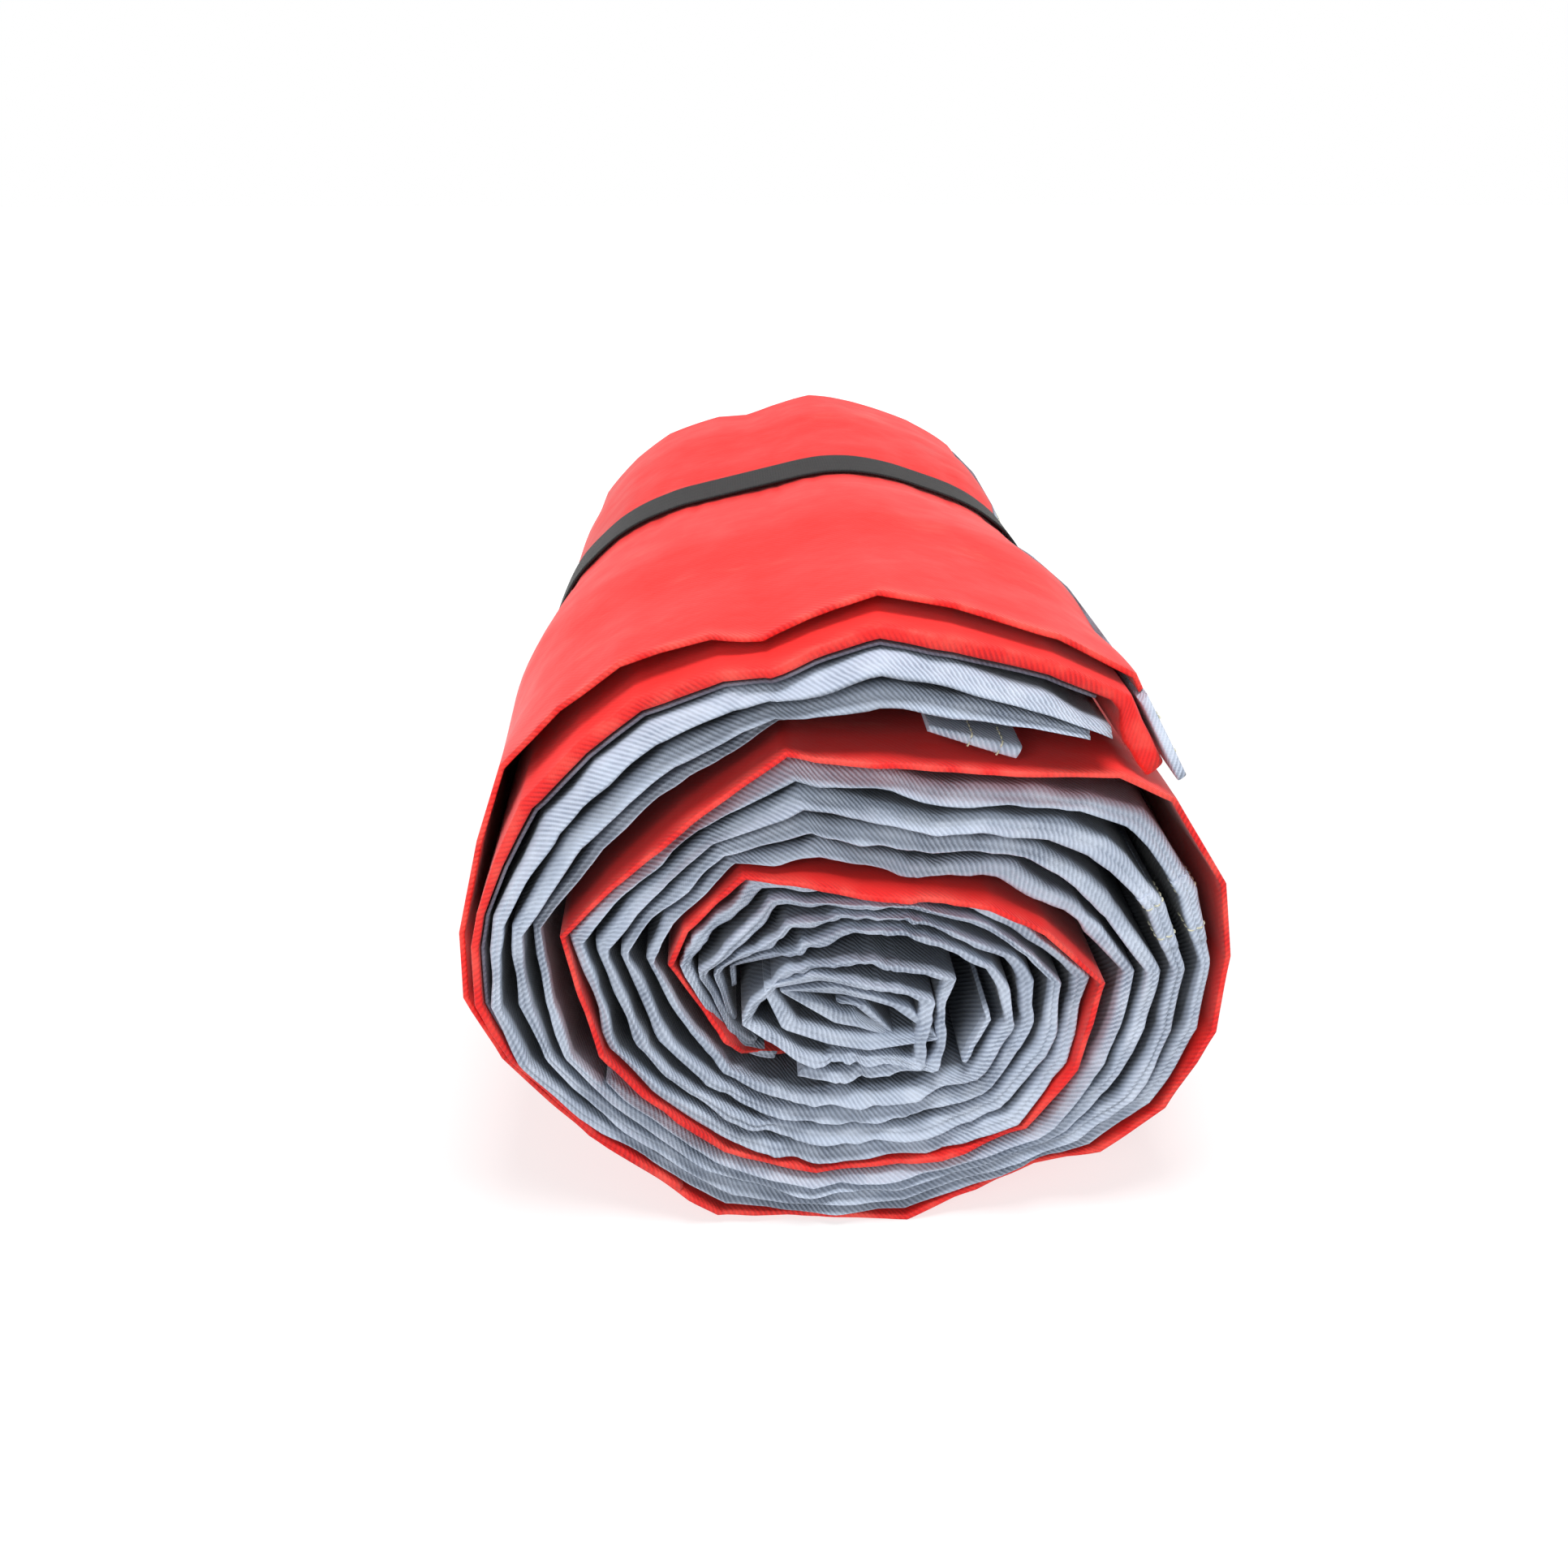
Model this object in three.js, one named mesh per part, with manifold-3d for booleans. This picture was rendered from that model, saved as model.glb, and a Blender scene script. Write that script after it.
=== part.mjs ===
// A large fire blanket of red and grey coated glass cloth, rolled up and held by a webbing cinch strap.
// Millimetres, +Z up, +X to the right and +Y along the roll, from its open front end to its far end.
// The blanket is three widths of cloth sewn side by side, folded into a narrow stack and rolled up.
// Each width winds round the roll as a stiff, creased spiral, from the free end inwards to the core.

import * as THREE from 'three';
import Module from 'manifold-3d';
import { mergeVertices } from 'three/addons/utils/BufferGeometryUtils.js';

// ---------------------------------------------------------------- driving sizes
const ROLL_LENGTH = 640;
const ROLL_HEIGHT = 308;
const SPIRAL_CENTRE = { x: 7.15, z: 115 };
const FRONT_SLANT = 54; // how much further the bottom of the front end reaches than its top
const REAR_SLANT = 16;
const GAP = 0.4; // clearance between pieces that lie on each other

const STRAP_WIDTH = 50;
const STRAP_THICKNESS = 2;
const STRAP_Y = 48;
const GROOVE_HALF = 32; // the cloth keeps one section this far each side of the strap's middle
const GROOVE_LIFT = 5; // the cloth under the strap stands this far off the floor

const FREE_END = 48; // bearing of the blanket's free end, in degrees round the roll
const FREE_FLAP = 84; // bearing that the part of the cloth with the two free corners is cut up to

// The slanting creases that the two free corners fold back along, from the end's edge to the free end.
const CORNER_CREASES = {
  front: { inner: { x: 58, y: -272 }, free: { x: 132, y: -70 } },
  rear: { inner: { x: 58, y: 305 }, free: { x: 132, y: 140 } },
};
const BEARING_STEP = 12;
const FLAT_BOTTOM = [236.5, 281.3]; // the bearings between which the roll lies flat on the floor

const HEM_REACH = 12; // degrees that the hem hangs past the free end
const HEM_THICKNESS = 2.6;
const STITCH = { width: 1, height: 0.7, rowGap: 15.5, edge: 7.5 };

const RING = { inner: 52, opening: 16, bar: 3.6, corner: 5, height: 158 }; // height: its middle, off the floor
const BEND_RADIUS = 0.75 * RING.bar + GAP; // inside of the webbing where it turns round a square bar
const ANCHOR_LAP = 62;
const TAIL_LENGTH = 118;
const PATCH = { start: 42, length: 62, width: 46, thickness: 1 };
const PULL_TAB = { length: 14, thickness: 3.2 };

// Creases of the outermost cloth, as [bearing in degrees, distance from the spiral's centre].
// The bearing keeps growing from one turn to the next, all the way in to the core.
const CREASES = [
  [36, 181], [50, 192], [62, 187], [77, 188], [88, 193], [99, 183], [109, 186], [125, 195], [135, 197],
  [146, 201], [156, 195], [169, 192], [178, 188], [188, 174], [206, 150], [236.5, 137.8], [281.3, 117.3],
  [302, 124], [323, 140], [339, 158], [354, 171], [367, 177], [379, 180], [395, 175], [404, 163],
  [420, 138], [444, 125], [461, 130], [466, 136], [490, 129], [511, 137], [524, 150], [534, 139],
  [549, 130], [561, 116], [587, 101], [615, 90], [629, 85], [656, 90], [681, 105], [703, 110],
  [726, 117], [744, 96], [762, 80], [779, 69], [812, 63], [833, 73], [850, 90], [874, 96], [886, 97],
  [907, 74], [927, 67], [950, 52], [988, 40], [1045, 56], [1072, 61], [1097, 56], [1145, 34], [1190, 30],
  [1249, 60], [1274, 63], [1310, 52],
];

// How the roll's section changes along it: y, scale about the centre line, lift off the floor.
const STATIONS = [
  { y: -ROLL_LENGTH / 2, scale: 1, lift: 0, slant: FRONT_SLANT },
  { y: -235, scale: 1, lift: 0, slant: FRONT_SLANT },
  { y: -110, scale: 1, lift: 0, slant: 12 },
  { y: STRAP_Y - GROOVE_HALF - 34, scale: 0.985, lift: 0, slant: 0 },
  { y: STRAP_Y - GROOVE_HALF, scale: 0.94, lift: GROOVE_LIFT, slant: 0 },
  { y: STRAP_Y + GROOVE_HALF, scale: 0.94, lift: GROOVE_LIFT, slant: 0 },
  { y: STRAP_Y + GROOVE_HALF + 34, scale: 0.98, lift: 0, slant: 0 },
  { y: 215, scale: 0.99, lift: 0, slant: -REAR_SLANT / 2 },
  { y: ROLL_LENGTH / 2, scale: 0.97, lift: 0, slant: -REAR_SLANT },
];

// ---------------------------------------------------------------- materials
function finish(color, roughness, metalness = 0) {
  return new THREE.MeshStandardMaterial({ color, roughness, metalness });
}


const redCloth = finish(0xe63a36, 0.62);
const greyCloth = finish(0xaebac8, 0.7);
const threadYarn = finish(0xd9d6b8, 0.75);
const webbing = finish(0x26252a, 0.6);
const hookAndLoop = finish(0x1b1b1d, 0.95);
const ringSteel = finish(0x3a3b3f, 0.35, 0.9);

const object = new THREE.Group();

/** Adds one named piece to the object. */
function addPiece(name, geometry, material) {
  const mesh = new THREE.Mesh(geometry, material);
  mesh.name = name;
  object.add(mesh);
  return mesh;
}

// ---------------------------------------------------------------- solids
/** Six times the volume that a triangle list encloses, negative when its faces point inwards. */
function signedVolume(positions, index) {
  const [a, b, c] = [new THREE.Vector3(), new THREE.Vector3(), new THREE.Vector3()];
  let volume = 0;
  for (let i = 0; i < index.length; i += 3) {
    a.fromArray(positions, 3 * index[i]);
    b.fromArray(positions, 3 * index[i + 1]);
    c.fromArray(positions, 3 * index[i + 2]);
    volume += a.dot(b.cross(c));
  }
  return volume;
}

/**
 * A closed solid through rings of points, each ring the same outline moved along the roll.
 * An outline goes along one side of a strip and back along the other, point for point.
 */
function loft(rings) {
  const count = rings[0].length;
  const last = (rings.length - 1) * count;
  const index = [];
  for (let a = 0; a < count / 2 - 1; a++) {
    const [b, c, d] = [a + 1, count - 2 - a, count - 1 - a];
    index.push(a, c, b, a, d, c);
    index.push(last + a, last + b, last + c, last + a, last + c, last + d);
  }
  for (let start = 0; start < last; start += count) {
    for (let i = 0; i < count; i++) {
      const here = start + i;
      const next = start + ((i + 1) % count);
      index.push(here, next, next + count, here, next + count, here + count);
    }
  }
  return closedGeometry(rings.flat().flatMap((p) => [p.x, p.y, p.z]), index);
}

/** Swaps two corners of every triangle in an index list. */
function turnInsideOut(index) {
  for (let i = 0; i < index.length; i += 3) {
    const corner = index[i + 1];
    index[i + 1] = index[i + 2];
    index[i + 2] = corner;
  }
}

/** A buffer geometry whose faces all point outwards. */
function closedGeometry(positions, index) {
  if (signedVolume(positions, index) < 0) turnInsideOut(index);
  const geometry = new THREE.BufferGeometry();
  geometry.setAttribute('position', new THREE.Float32BufferAttribute(positions, 3));
  geometry.setIndex(index);
  return geometry;
}

const wasm = await Module();
wasm.setup();

/** A copy of a geometry with its positions only, and one vertex where several meet. */
function bareGeometry(geometry) {
  const bare = geometry.clone();
  bare.deleteAttribute('normal');
  bare.deleteAttribute('uv');
  const merged = mergeVertices(bare);
  return closedGeometry([...merged.attributes.position.array], [...merged.index.array]);
}

/** A manifold solid made from a closed geometry. */
function toManifold(geometry) {
  const vertProperties = Float32Array.from(geometry.attributes.position.array);
  const triVerts = Uint32Array.from(geometry.index.array);
  return new wasm.Manifold(new wasm.Mesh({ numProp: 3, vertProperties, triVerts }));
}

/** The closed geometry of a manifold solid. */
function fromManifold(solid) {
  const { vertProperties, triVerts } = solid.getMesh();
  return closedGeometry([...vertProperties], [...triVerts]);
}

// ---------------------------------------------------------------- the rolled section
const radians = THREE.MathUtils.degToRad;

/** Distance from the spiral's centre to the outermost cloth at a bearing, straight between creases. */
function creaseRadius(bearing) {
  const last = CREASES.length - 1;
  const held = Math.min(Math.max(bearing, CREASES[0][0]), CREASES[last][0]);
  let i = 0;
  while (i < last - 1 && CREASES[i + 1][0] < held) i++;
  const [[before, r1], [after, r2]] = [CREASES[i], CREASES[i + 1]];
  const [a, b] = [radians(held - before), radians(after - held)];
  return (r1 * r2 * Math.sin(a + b)) / (r1 * Math.sin(a) + r2 * Math.sin(b));
}

/** Radius at a share of the way in from one turn of the outermost cloth to the next. */
function plyRadius(bearing, share) {
  return creaseRadius(bearing) * (1 - share) + creaseRadius(bearing + 360) * share;
}

/** Point of the front section at a bearing and radius. */
function sectionPoint(bearing, radius) {
  const angle = radians(bearing);
  return {
    x: SPIRAL_CENTRE.x + radius * Math.cos(angle),
    z: Math.max(SPIRAL_CENTRE.z + radius * Math.sin(angle), 0),
  };
}

/** The roll's section at a distance along it, between the two nearest stations. */
function stationAt(y) {
  const last = STATIONS.length - 1;
  let i = 0;
  while (i < last - 1 && STATIONS[i + 1].y < y) i++;
  const [from, to] = [STATIONS[i], STATIONS[i + 1]];
  const share = (y - from.y) / (to.y - from.y);
  const between = (key) => from[key] * (1 - share) + to[key] * share;
  return { y, scale: between('scale'), lift: between('lift'), slant: between('slant') };
}

/** Moves a point of the front section to a station along the roll. */
function place({ x, z }, { y, scale, lift, slant }) {
  const lean = slant * (z / ROLL_HEIGHT);
  return new THREE.Vector3(SPIRAL_CENTRE.x + (x - SPIRAL_CENTRE.x) * scale, y + lean, lift + z * scale);
}

/** The bearings at which every ply from one bearing to another has a corner. */
function bearingsBetween(from, to) {
  const corners = [];
  for (let turn = 0; turn <= 4; turn++) {
    for (let b = 0; b < 360; b += BEARING_STEP) corners.push(360 * turn + b);
    for (const b of FLAT_BOTTOM) corners.push(360 * turn + b);
  }
  return [from, ...corners.filter((b) => b > from && b < to).sort((a, b) => a - b), to];
}

/** A ply of cloth wound round the roll between two shares of the gap, over part of its length. */
function ply({ from, to, outer, inner, start = -ROLL_LENGTH / 2, end = ROLL_LENGTH / 2 }) {
  const bearings = bearingsBetween(from, to);
  const outside = bearings.map((b) => sectionPoint(b, plyRadius(b, outer)));
  const inside = bearings.map((b) => sectionPoint(b, plyRadius(b, inner))).reverse();
  const stations = STATIONS.filter(({ y }) => y > start && y < end);
  const spread = [stationAt(start), ...stations, stationAt(end)];
  return loft(spread.map((station) => [...outside, ...inside].map((p) => place(p, station))));
}

// ---------------------------------------------------------------- the blanket
const LIFT_SHARE = 0.24; // how deep into the first gap the outer width of cloth reaches
const OUTER = { outer: 0, inner: LIFT_SHARE };
const MIDDLE = { outer: 0.34, inner: 0.6 };
const INNER = { outer: 0.69, inner: 0.92 };
const CORE_START = 950;

/** A tall block over everything on the free corner's side of a crease, held off it by an inset. */
function cornerBlock({ inner, free }, inset) {
  const along = new THREE.Vector2(free.x - inner.x, free.y - inner.y);
  const towards = new THREE.Vector2(Math.abs(along.y), -Math.sign(along.y) * along.x).normalize();
  const start = new THREE.Vector2(inner.x, inner.y).sub(along).addScaledVector(towards, inset);
  const end = new THREE.Vector2(free.x, free.y).add(along).addScaledVector(towards, inset);
  const reach = ROLL_LENGTH;
  const far = [end, start].map((p) => p.clone().addScaledVector(towards, reach));
  const plan = new THREE.Shape([start, end, ...far]);
  const block = new THREE.ExtrudeGeometry(plan, { depth: 2 * ROLL_HEIGHT, bevelEnabled: false });
  return toManifold(bareGeometry(block));
}

const CORNER_GAP = 0.3; // half the gap along a corner's crease

/** Divides a piece of the free end into its front corner, its rear corner and what stays put. */
function divideFreeEnd(geometry) {
  const whole = toManifold(geometry);
  const { front, rear } = CORNER_CREASES;
  const kept = whole.subtract(cornerBlock(front, -CORNER_GAP)).subtract(cornerBlock(rear, -CORNER_GAP));
  return {
    kept: fromManifold(kept),
    front: fromManifold(whole.intersect(cornerBlock(front, CORNER_GAP))),
    rear: fromManifold(whole.intersect(cornerBlock(rear, CORNER_GAP))),
  };
}

function addPanels() {
  const wound = ply({ from: FREE_FLAP - BEARING_STEP / 2, to: CORE_START, ...OUTER });
  const flap = divideFreeEnd(ply({ from: FREE_END, to: FREE_FLAP, ...OUTER }));
  addPiece('outer_panel', fromManifold(toManifold(wound).add(toManifold(flap.kept))), redCloth);
  addPiece('front_corner', flap.front, redCloth);
  addPiece('rear_corner', flap.rear, redCloth);
  addPiece('middle_panel', ply({ from: FREE_END, to: CORE_START - 12, ...MIDDLE }), greyCloth);
  addPiece('inner_panel', ply({ from: 66, to: CORE_START - 72, ...INNER }), greyCloth);
}

/** The flattened middle that the roll was started on. */
function addCore() {
  const bearings = [952, 984, 1020, 1056, 1092, 1116, 1152, 1188, 1224, 1248, 1272, 1294];
  const outline = bearings.map((b) => sectionPoint(b, creaseRadius(b)));
  const ends = [stationAt(-ROLL_LENGTH / 2), ...STATIONS.slice(1, -1), stationAt(ROLL_LENGTH / 2)];
  addPiece('core_fold', loft(ends.map((station) => outline.map((p) => place(p, station)))), greyCloth);
}

/** A strip of cloth lying at one depth in the roll, between two bearings. */
function strip({ from, to, share, thickness, start, end }) {
  const bearings = bearingsBetween(from, to);
  const outside = bearings.map((b) => sectionPoint(b, plyRadius(b, share)));
  const inside = bearings.map((b) => sectionPoint(b, plyRadius(b, share) - thickness)).reverse();
  const stations = STATIONS.filter(({ y }) => y > start && y < end);
  const spread = [stationAt(start), ...stations, stationAt(end)];
  return loft(spread.map((station) => [...outside, ...inside].map((p) => place(p, station))));
}

/** Adds the rows of lockstitch that run along the roll on a strip's outer face. */
function addThreads(name, { from, to, share, start, end }) {
  const middle = (from + to) / 2;
  const radius = plyRadius(middle, share);
  const degreesFor = (length) => THREE.MathUtils.radToDeg(length / radius);
  [-1, 1].forEach((side, i) => {
    const row = middle + side * degreesFor(STITCH.rowGap / 2);
    const sides = [row - degreesFor(STITCH.width / 2), row + degreesFor(STITCH.width / 2)];
    const bottom = sides.map((b) => sectionPoint(b, plyRadius(b, share) + GAP));
    const top = sides.map((b) => sectionPoint(b, plyRadius(b, share) + GAP + STITCH.height)).reverse();
    const [first, last] = [start + STITCH.edge, end - STITCH.edge];
    const stations = STATIONS.filter(({ y }) => y > first && y < last);
    const spread = [stationAt(first), ...stations, stationAt(last)];
    const thread = loft(spread.map((station) => [...bottom, ...top].map((p) => place(p, station))));
    addPiece(`${name}_${i + 1}`, thread, threadYarn);
  });
}

/** The stitched hem along the free end, and the lengths of it that the corners carry. */
function addHems() {
  const hem = { from: FREE_END - HEM_REACH, to: FREE_END - 0.3, share: 0.02, thickness: HEM_THICKNESS };
  const span = { start: -ROLL_LENGTH / 2, end: ROLL_LENGTH / 2 };
  const divided = divideFreeEnd(strip({ ...hem, ...span }));
  addPiece('free_end_hem', divided.kept, greyCloth);
  addPiece('front_corner_hem', divided.front, greyCloth);
  addPiece('rear_corner_hem', divided.rear, greyCloth);
  addThreads('free_hem_thread', { ...hem, start: -4, end: 92 });
  addThreads('front_hem_thread', { ...hem, start: span.start, end: -38 });
  addThreads('rear_hem_thread', { ...hem, start: 118, end: span.end });
}

const LAP_THICKNESS = 1.2;
const SET_BACK = { start: 4 - ROLL_LENGTH / 2, end: ROLL_LENGTH / 2 - 4 }; // loose plies stop short of both ends
const TUCKED_CORNER_END = 90 - ROLL_LENGTH / 2;

/** The doubled laps where two widths of cloth are sewn together, with the stitches on each. */
function addLapSeams() {
  const span = { from: 372, to: 384, thickness: LAP_THICKNESS, ...SET_BACK };
  const seams = { outer: 0.3, middle: 0.65 };
  for (const [name, share] of Object.entries(seams)) {
    addPiece(`${name}_lap_seam`, strip({ ...span, share }), greyCloth);
    addThreads(`${name}_lap_thread`, { ...span, share });
  }
}

/** The hem's corner that is tucked in under the free end, and the frayed start of the roll. */
function addLooseEnds() {
  const tab = { from: 58, to: 68, share: 0.95, thickness: LAP_THICKNESS, ...SET_BACK, end: TUCKED_CORNER_END };
  addPiece('tucked_corner', strip(tab), greyCloth);
  addThreads('tucked_corner_thread', tab);
  addPiece('frayed_start', strip({ from: 690, to: 714, share: 0.955, thickness: 1, ...SET_BACK }), greyCloth);
}

// ---------------------------------------------------------------- the cinch strap
/** Corners of the smallest convex outline round a set of points, anticlockwise. */
function convexHull(points) {
  const sorted = [...points].sort((a, b) => a.x - b.x || a.y - b.y);
  const half = (list) => {
    const chain = [];
    for (const p of list) {
      while (chain.length > 1 && turn(chain.at(-2), chain.at(-1), p) <= 0) chain.pop();
      chain.push(p);
    }
    return chain.slice(0, -1);
  };
  return [...half(sorted), ...half(sorted.reverse())];
}

/** Positive when three points turn left. */
function turn(a, b, c) {
  return (b.x - a.x) * (c.y - a.y) - (b.y - a.y) * (c.x - a.x);
}

/** The taut line that the strap takes round the roll's section, anticlockwise from the ring. */
function strapLine() {
  const groove = stationAt(STRAP_Y);
  const bearings = bearingsBetween(FREE_END - HEM_REACH, FREE_END + 360);
  const outline = bearings.map((b) => place(sectionPoint(b, creaseRadius(b)), groove));
  const hull = convexHull(outline.map((p) => new THREE.Vector2(p.x, p.z)));
  const spaced = [];
  hull.forEach((corner, i) => {
    const next = hull[(i + 1) % hull.length];
    const steps = Math.ceil(corner.distanceTo(next) / 22);
    for (let s = 0; s < steps; s++) spaced.push(corner.clone().lerp(next, s / steps));
  });
  const nearest = (p) => (p.x > SPIRAL_CENTRE.x ? Math.abs(p.y - RING.height) : Infinity);
  const first = spaced.reduce((best, p, i) => (nearest(p) < nearest(spaced[best]) ? i : best), 0);
  const ordered = [...spaced.slice(first), ...spaced.slice(0, first)];
  const corners = ordered.map((p) => new THREE.Vector3(p.x, p.y, 0));
  return new THREE.CatmullRomCurve3(corners, true, 'centripetal');
}

const LINE = strapLine();
const LINE_LENGTH = LINE.getLength();

/** Point on the strap's line: distance up from the ring's middle, and height off the cloth. */
function onStrap(along, height) {
  const share = THREE.MathUtils.euclideanModulo(along / LINE_LENGTH, 1);
  const point = LINE.getPointAt(share);
  const tangent = LINE.getTangentAt(share);
  return { x: point.x + tangent.y * height, z: point.y - tangent.x * height };
}

/** Extrudes an outline of section points across the strap. */
function acrossStrap(outline, width = STRAP_WIDTH, middle = STRAP_Y) {
  const ends = [middle - width / 2, middle + width / 2];
  return loft(ends.map((y) => outline.map(({ x, z }) => new THREE.Vector3(x, y, z))));
}

/** A length of webbing or patch that lies along the strap's line between two heights. */
function alongStrap(from, to, low, high, width = STRAP_WIDTH, step = LAP_STEP) {
  const count = Math.max(2, Math.ceil(Math.abs(to - from) / step));
  const places = Array.from({ length: count + 1 }, (_, i) => from + ((to - from) * i) / count);
  const under = places.map((s) => onStrap(s, low));
  const over = places.map((s) => onStrap(s, high)).reverse();
  return acrossStrap([...under, ...over], width);
}

const BAND_LOW = 3 * GAP; // the taut webbing bridges the creases, just off the cloth
const BAND_HIGH = BAND_LOW + STRAP_THICKNESS;
const BAR_HEIGHT = BAND_LOW + STRAP_THICKNESS + BEND_RADIUS; // a bar's middle, off the cloth
const BAR_OFFSET = (RING.opening + RING.bar) / 2; // a bar's middle, up or down from the ring's
const LAP_LOW = BAND_HIGH + 2 * (PATCH.thickness + GAP) + GAP; // the folded-back webbing lies this high
const LAP_HIGH = LAP_LOW + STRAP_THICKNESS;
const LAP_STEP = 7;
const LAP_START = 22; // the folded-back webbing lies flat from this far past the bar
const TURN_ROOM = 5; // the band stops this far short of the bar that the tail turns round

/** Webbing that turns round a bar of the ring and folds back along the strap, up (1) or down (-1). */
function foldRoundBar(way, lapLength) {
  const bar = way * BAR_OFFSET;
  const outer = BEND_RADIUS + STRAP_THICKNESS;
  const turnAt = (radius) => Array.from({ length: 9 }, (_, i) => {
    const angle = (Math.PI * i) / 8;
    return onStrap(bar - way * radius * Math.sin(angle), BAR_HEIGHT - radius * Math.cos(angle));
  });
  const count = Math.ceil(lapLength / LAP_STEP);
  const laps = Array.from({ length: count }, (_, i) => bar + way * (LAP_START + LAP_STEP * i));
  const reach = laps.filter((s) => Math.abs(s - bar) < lapLength);
  reach.push(bar + way * lapLength);
  const inside = [...turnAt(BEND_RADIUS), ...reach.map((s) => onStrap(s, LAP_LOW))];
  const outside = [...turnAt(outer), ...reach.map((s) => onStrap(s, LAP_HIGH))].reverse();
  return acrossStrap([...inside, ...outside]);
}

/** The rectangular ring that the strap pulls tight through. */
function ringGeometry() {
  const frame = (width, height, corner) => {
    const shape = new THREE.Path();
    const [w, h] = [width / 2 - corner, height / 2 - corner];
    shape.absarc(w, h, corner, 0, Math.PI / 2, false);
    shape.absarc(-w, h, corner, Math.PI / 2, Math.PI);
    shape.absarc(-w, -h, corner, Math.PI, 1.5 * Math.PI);
    shape.absarc(w, -h, corner, 1.5 * Math.PI, 2 * Math.PI);
    return shape.getPoints(4);
  };
  const outline = new THREE.Shape(frame(RING.inner + 2 * RING.bar, RING.opening + 2 * RING.bar, RING.corner));
  outline.holes.push(new THREE.Path(frame(RING.inner, RING.opening, RING.corner - RING.bar + 0.6)));
  const plate = new THREE.ExtrudeGeometry(outline, { depth: RING.bar, bevelEnabled: false });
  plate.translate(0, 0, -RING.bar / 2);
  const [low, high] = [onStrap(-BAR_OFFSET, BAR_HEIGHT), onStrap(BAR_OFFSET, BAR_HEIGHT)];
  const up = new THREE.Vector3(high.x - low.x, 0, high.z - low.z).normalize();
  const along = new THREE.Vector3(0, 1, 0);
  const outwards = new THREE.Vector3().crossVectors(along, up);
  plate.applyMatrix4(new THREE.Matrix4().makeBasis(along, up, outwards));
  plate.translate((low.x + high.x) / 2, STRAP_Y, (low.z + high.z) / 2);
  return bareGeometry(plate);
}

/** Adds rows of lockstitch across the strap, through the webbing that is folded back. */
function addCrossThreads(name, places, height) {
  places.forEach((along, i) => {
    const [low, high] = [along - STITCH.width / 2, along + STITCH.width / 2];
    const top = height + STITCH.height;
    const corners = [[low, height], [high, height], [high, top], [low, top]];
    const row = acrossStrap(corners.map(([s, h]) => onStrap(s, h)), STRAP_WIDTH - STITCH.edge);
    addPiece(`${name}_${i + 1}`, row, threadYarn);
  });
}

function addStrap() {
  const band = alongStrap(BAR_OFFSET + GAP, LINE_LENGTH - BAR_OFFSET - TURN_ROOM, BAND_LOW, BAND_HIGH);
  addPiece('strap_band', band, webbing);
  addPiece('ring_anchor_loop', foldRoundBar(1, ANCHOR_LAP), webbing);
  addPiece('strap_tail', foldRoundBar(-1, TAIL_LENGTH), webbing);
  addPiece('cinch_ring', ringGeometry(), ringSteel);

  const [near, far] = [-BAR_OFFSET - PATCH.start, -BAR_OFFSET - PATCH.start - PATCH.length];
  const lows = { loop_patch: BAND_HIGH + GAP, hook_patch: BAND_HIGH + PATCH.thickness + 1.5 * GAP };
  for (const [name, low] of Object.entries(lows)) {
    const patch = alongStrap(far, near, low, low + PATCH.thickness - 0.2, PATCH.width);
    addPiece(name, patch, hookAndLoop);
  }

  const end = -BAR_OFFSET - TAIL_LENGTH - GAP;
  const pullTab = alongStrap(end - PULL_TAB.length, end, LAP_LOW - 0.4, LAP_LOW - 0.4 + PULL_TAB.thickness);
  addPiece('tail_pull_tab', pullTab, hookAndLoop);
  const lapRows = [26, 32, ANCHOR_LAP - 10, ANCHOR_LAP - 4];
  addCrossThreads('anchor_thread', lapRows.map((s) => BAR_OFFSET + s), LAP_HIGH + GAP);
  addCrossThreads('patch_thread', [near - 3, far + 3], LAP_HIGH + GAP);
}

addPanels();
addCore();
addHems();
addLapSeams();
addLooseEnds();
addStrap();

export default object;
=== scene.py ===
"""A large fire blanket of red and grey coated glass cloth, rolled up and held by a black webbing cinch strap.

Metres, +Z up, +X to the right and +Y along the roll, from its open front end to its far end. Every ply of the
roll follows one creased spiral. A ply is a folded band of cloth: an outer wall, a rounded fold at each end of
the roll, and an inner wall.
"""

import logging
import math
from dataclasses import dataclass, field
from enum import Enum

import bpy
import numpy as np
from mathutils import Matrix, Vector, noise


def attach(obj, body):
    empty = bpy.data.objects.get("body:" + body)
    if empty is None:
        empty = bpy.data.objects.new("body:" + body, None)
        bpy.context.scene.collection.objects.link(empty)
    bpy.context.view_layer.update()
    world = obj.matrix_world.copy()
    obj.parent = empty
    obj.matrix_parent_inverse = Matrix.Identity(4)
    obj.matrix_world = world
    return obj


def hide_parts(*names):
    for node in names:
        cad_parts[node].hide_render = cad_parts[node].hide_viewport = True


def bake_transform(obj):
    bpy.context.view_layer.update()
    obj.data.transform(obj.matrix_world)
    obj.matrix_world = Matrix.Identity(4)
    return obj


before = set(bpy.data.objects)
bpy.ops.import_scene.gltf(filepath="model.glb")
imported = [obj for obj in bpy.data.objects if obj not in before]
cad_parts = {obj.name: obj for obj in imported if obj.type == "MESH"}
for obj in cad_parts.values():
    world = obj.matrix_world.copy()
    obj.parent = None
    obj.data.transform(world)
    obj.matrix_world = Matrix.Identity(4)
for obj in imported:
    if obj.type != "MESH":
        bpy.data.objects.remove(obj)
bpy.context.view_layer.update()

MM = 0.001
TINY = 1e-12

logging.basicConfig(level=logging.INFO, format="%(message)s")
log = logging.getLogger("fire_blanket")

Knots = tuple[tuple[float, float], ...]
Colour = tuple[float, float, float]
Socket = bpy.types.NodeSocket


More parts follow.
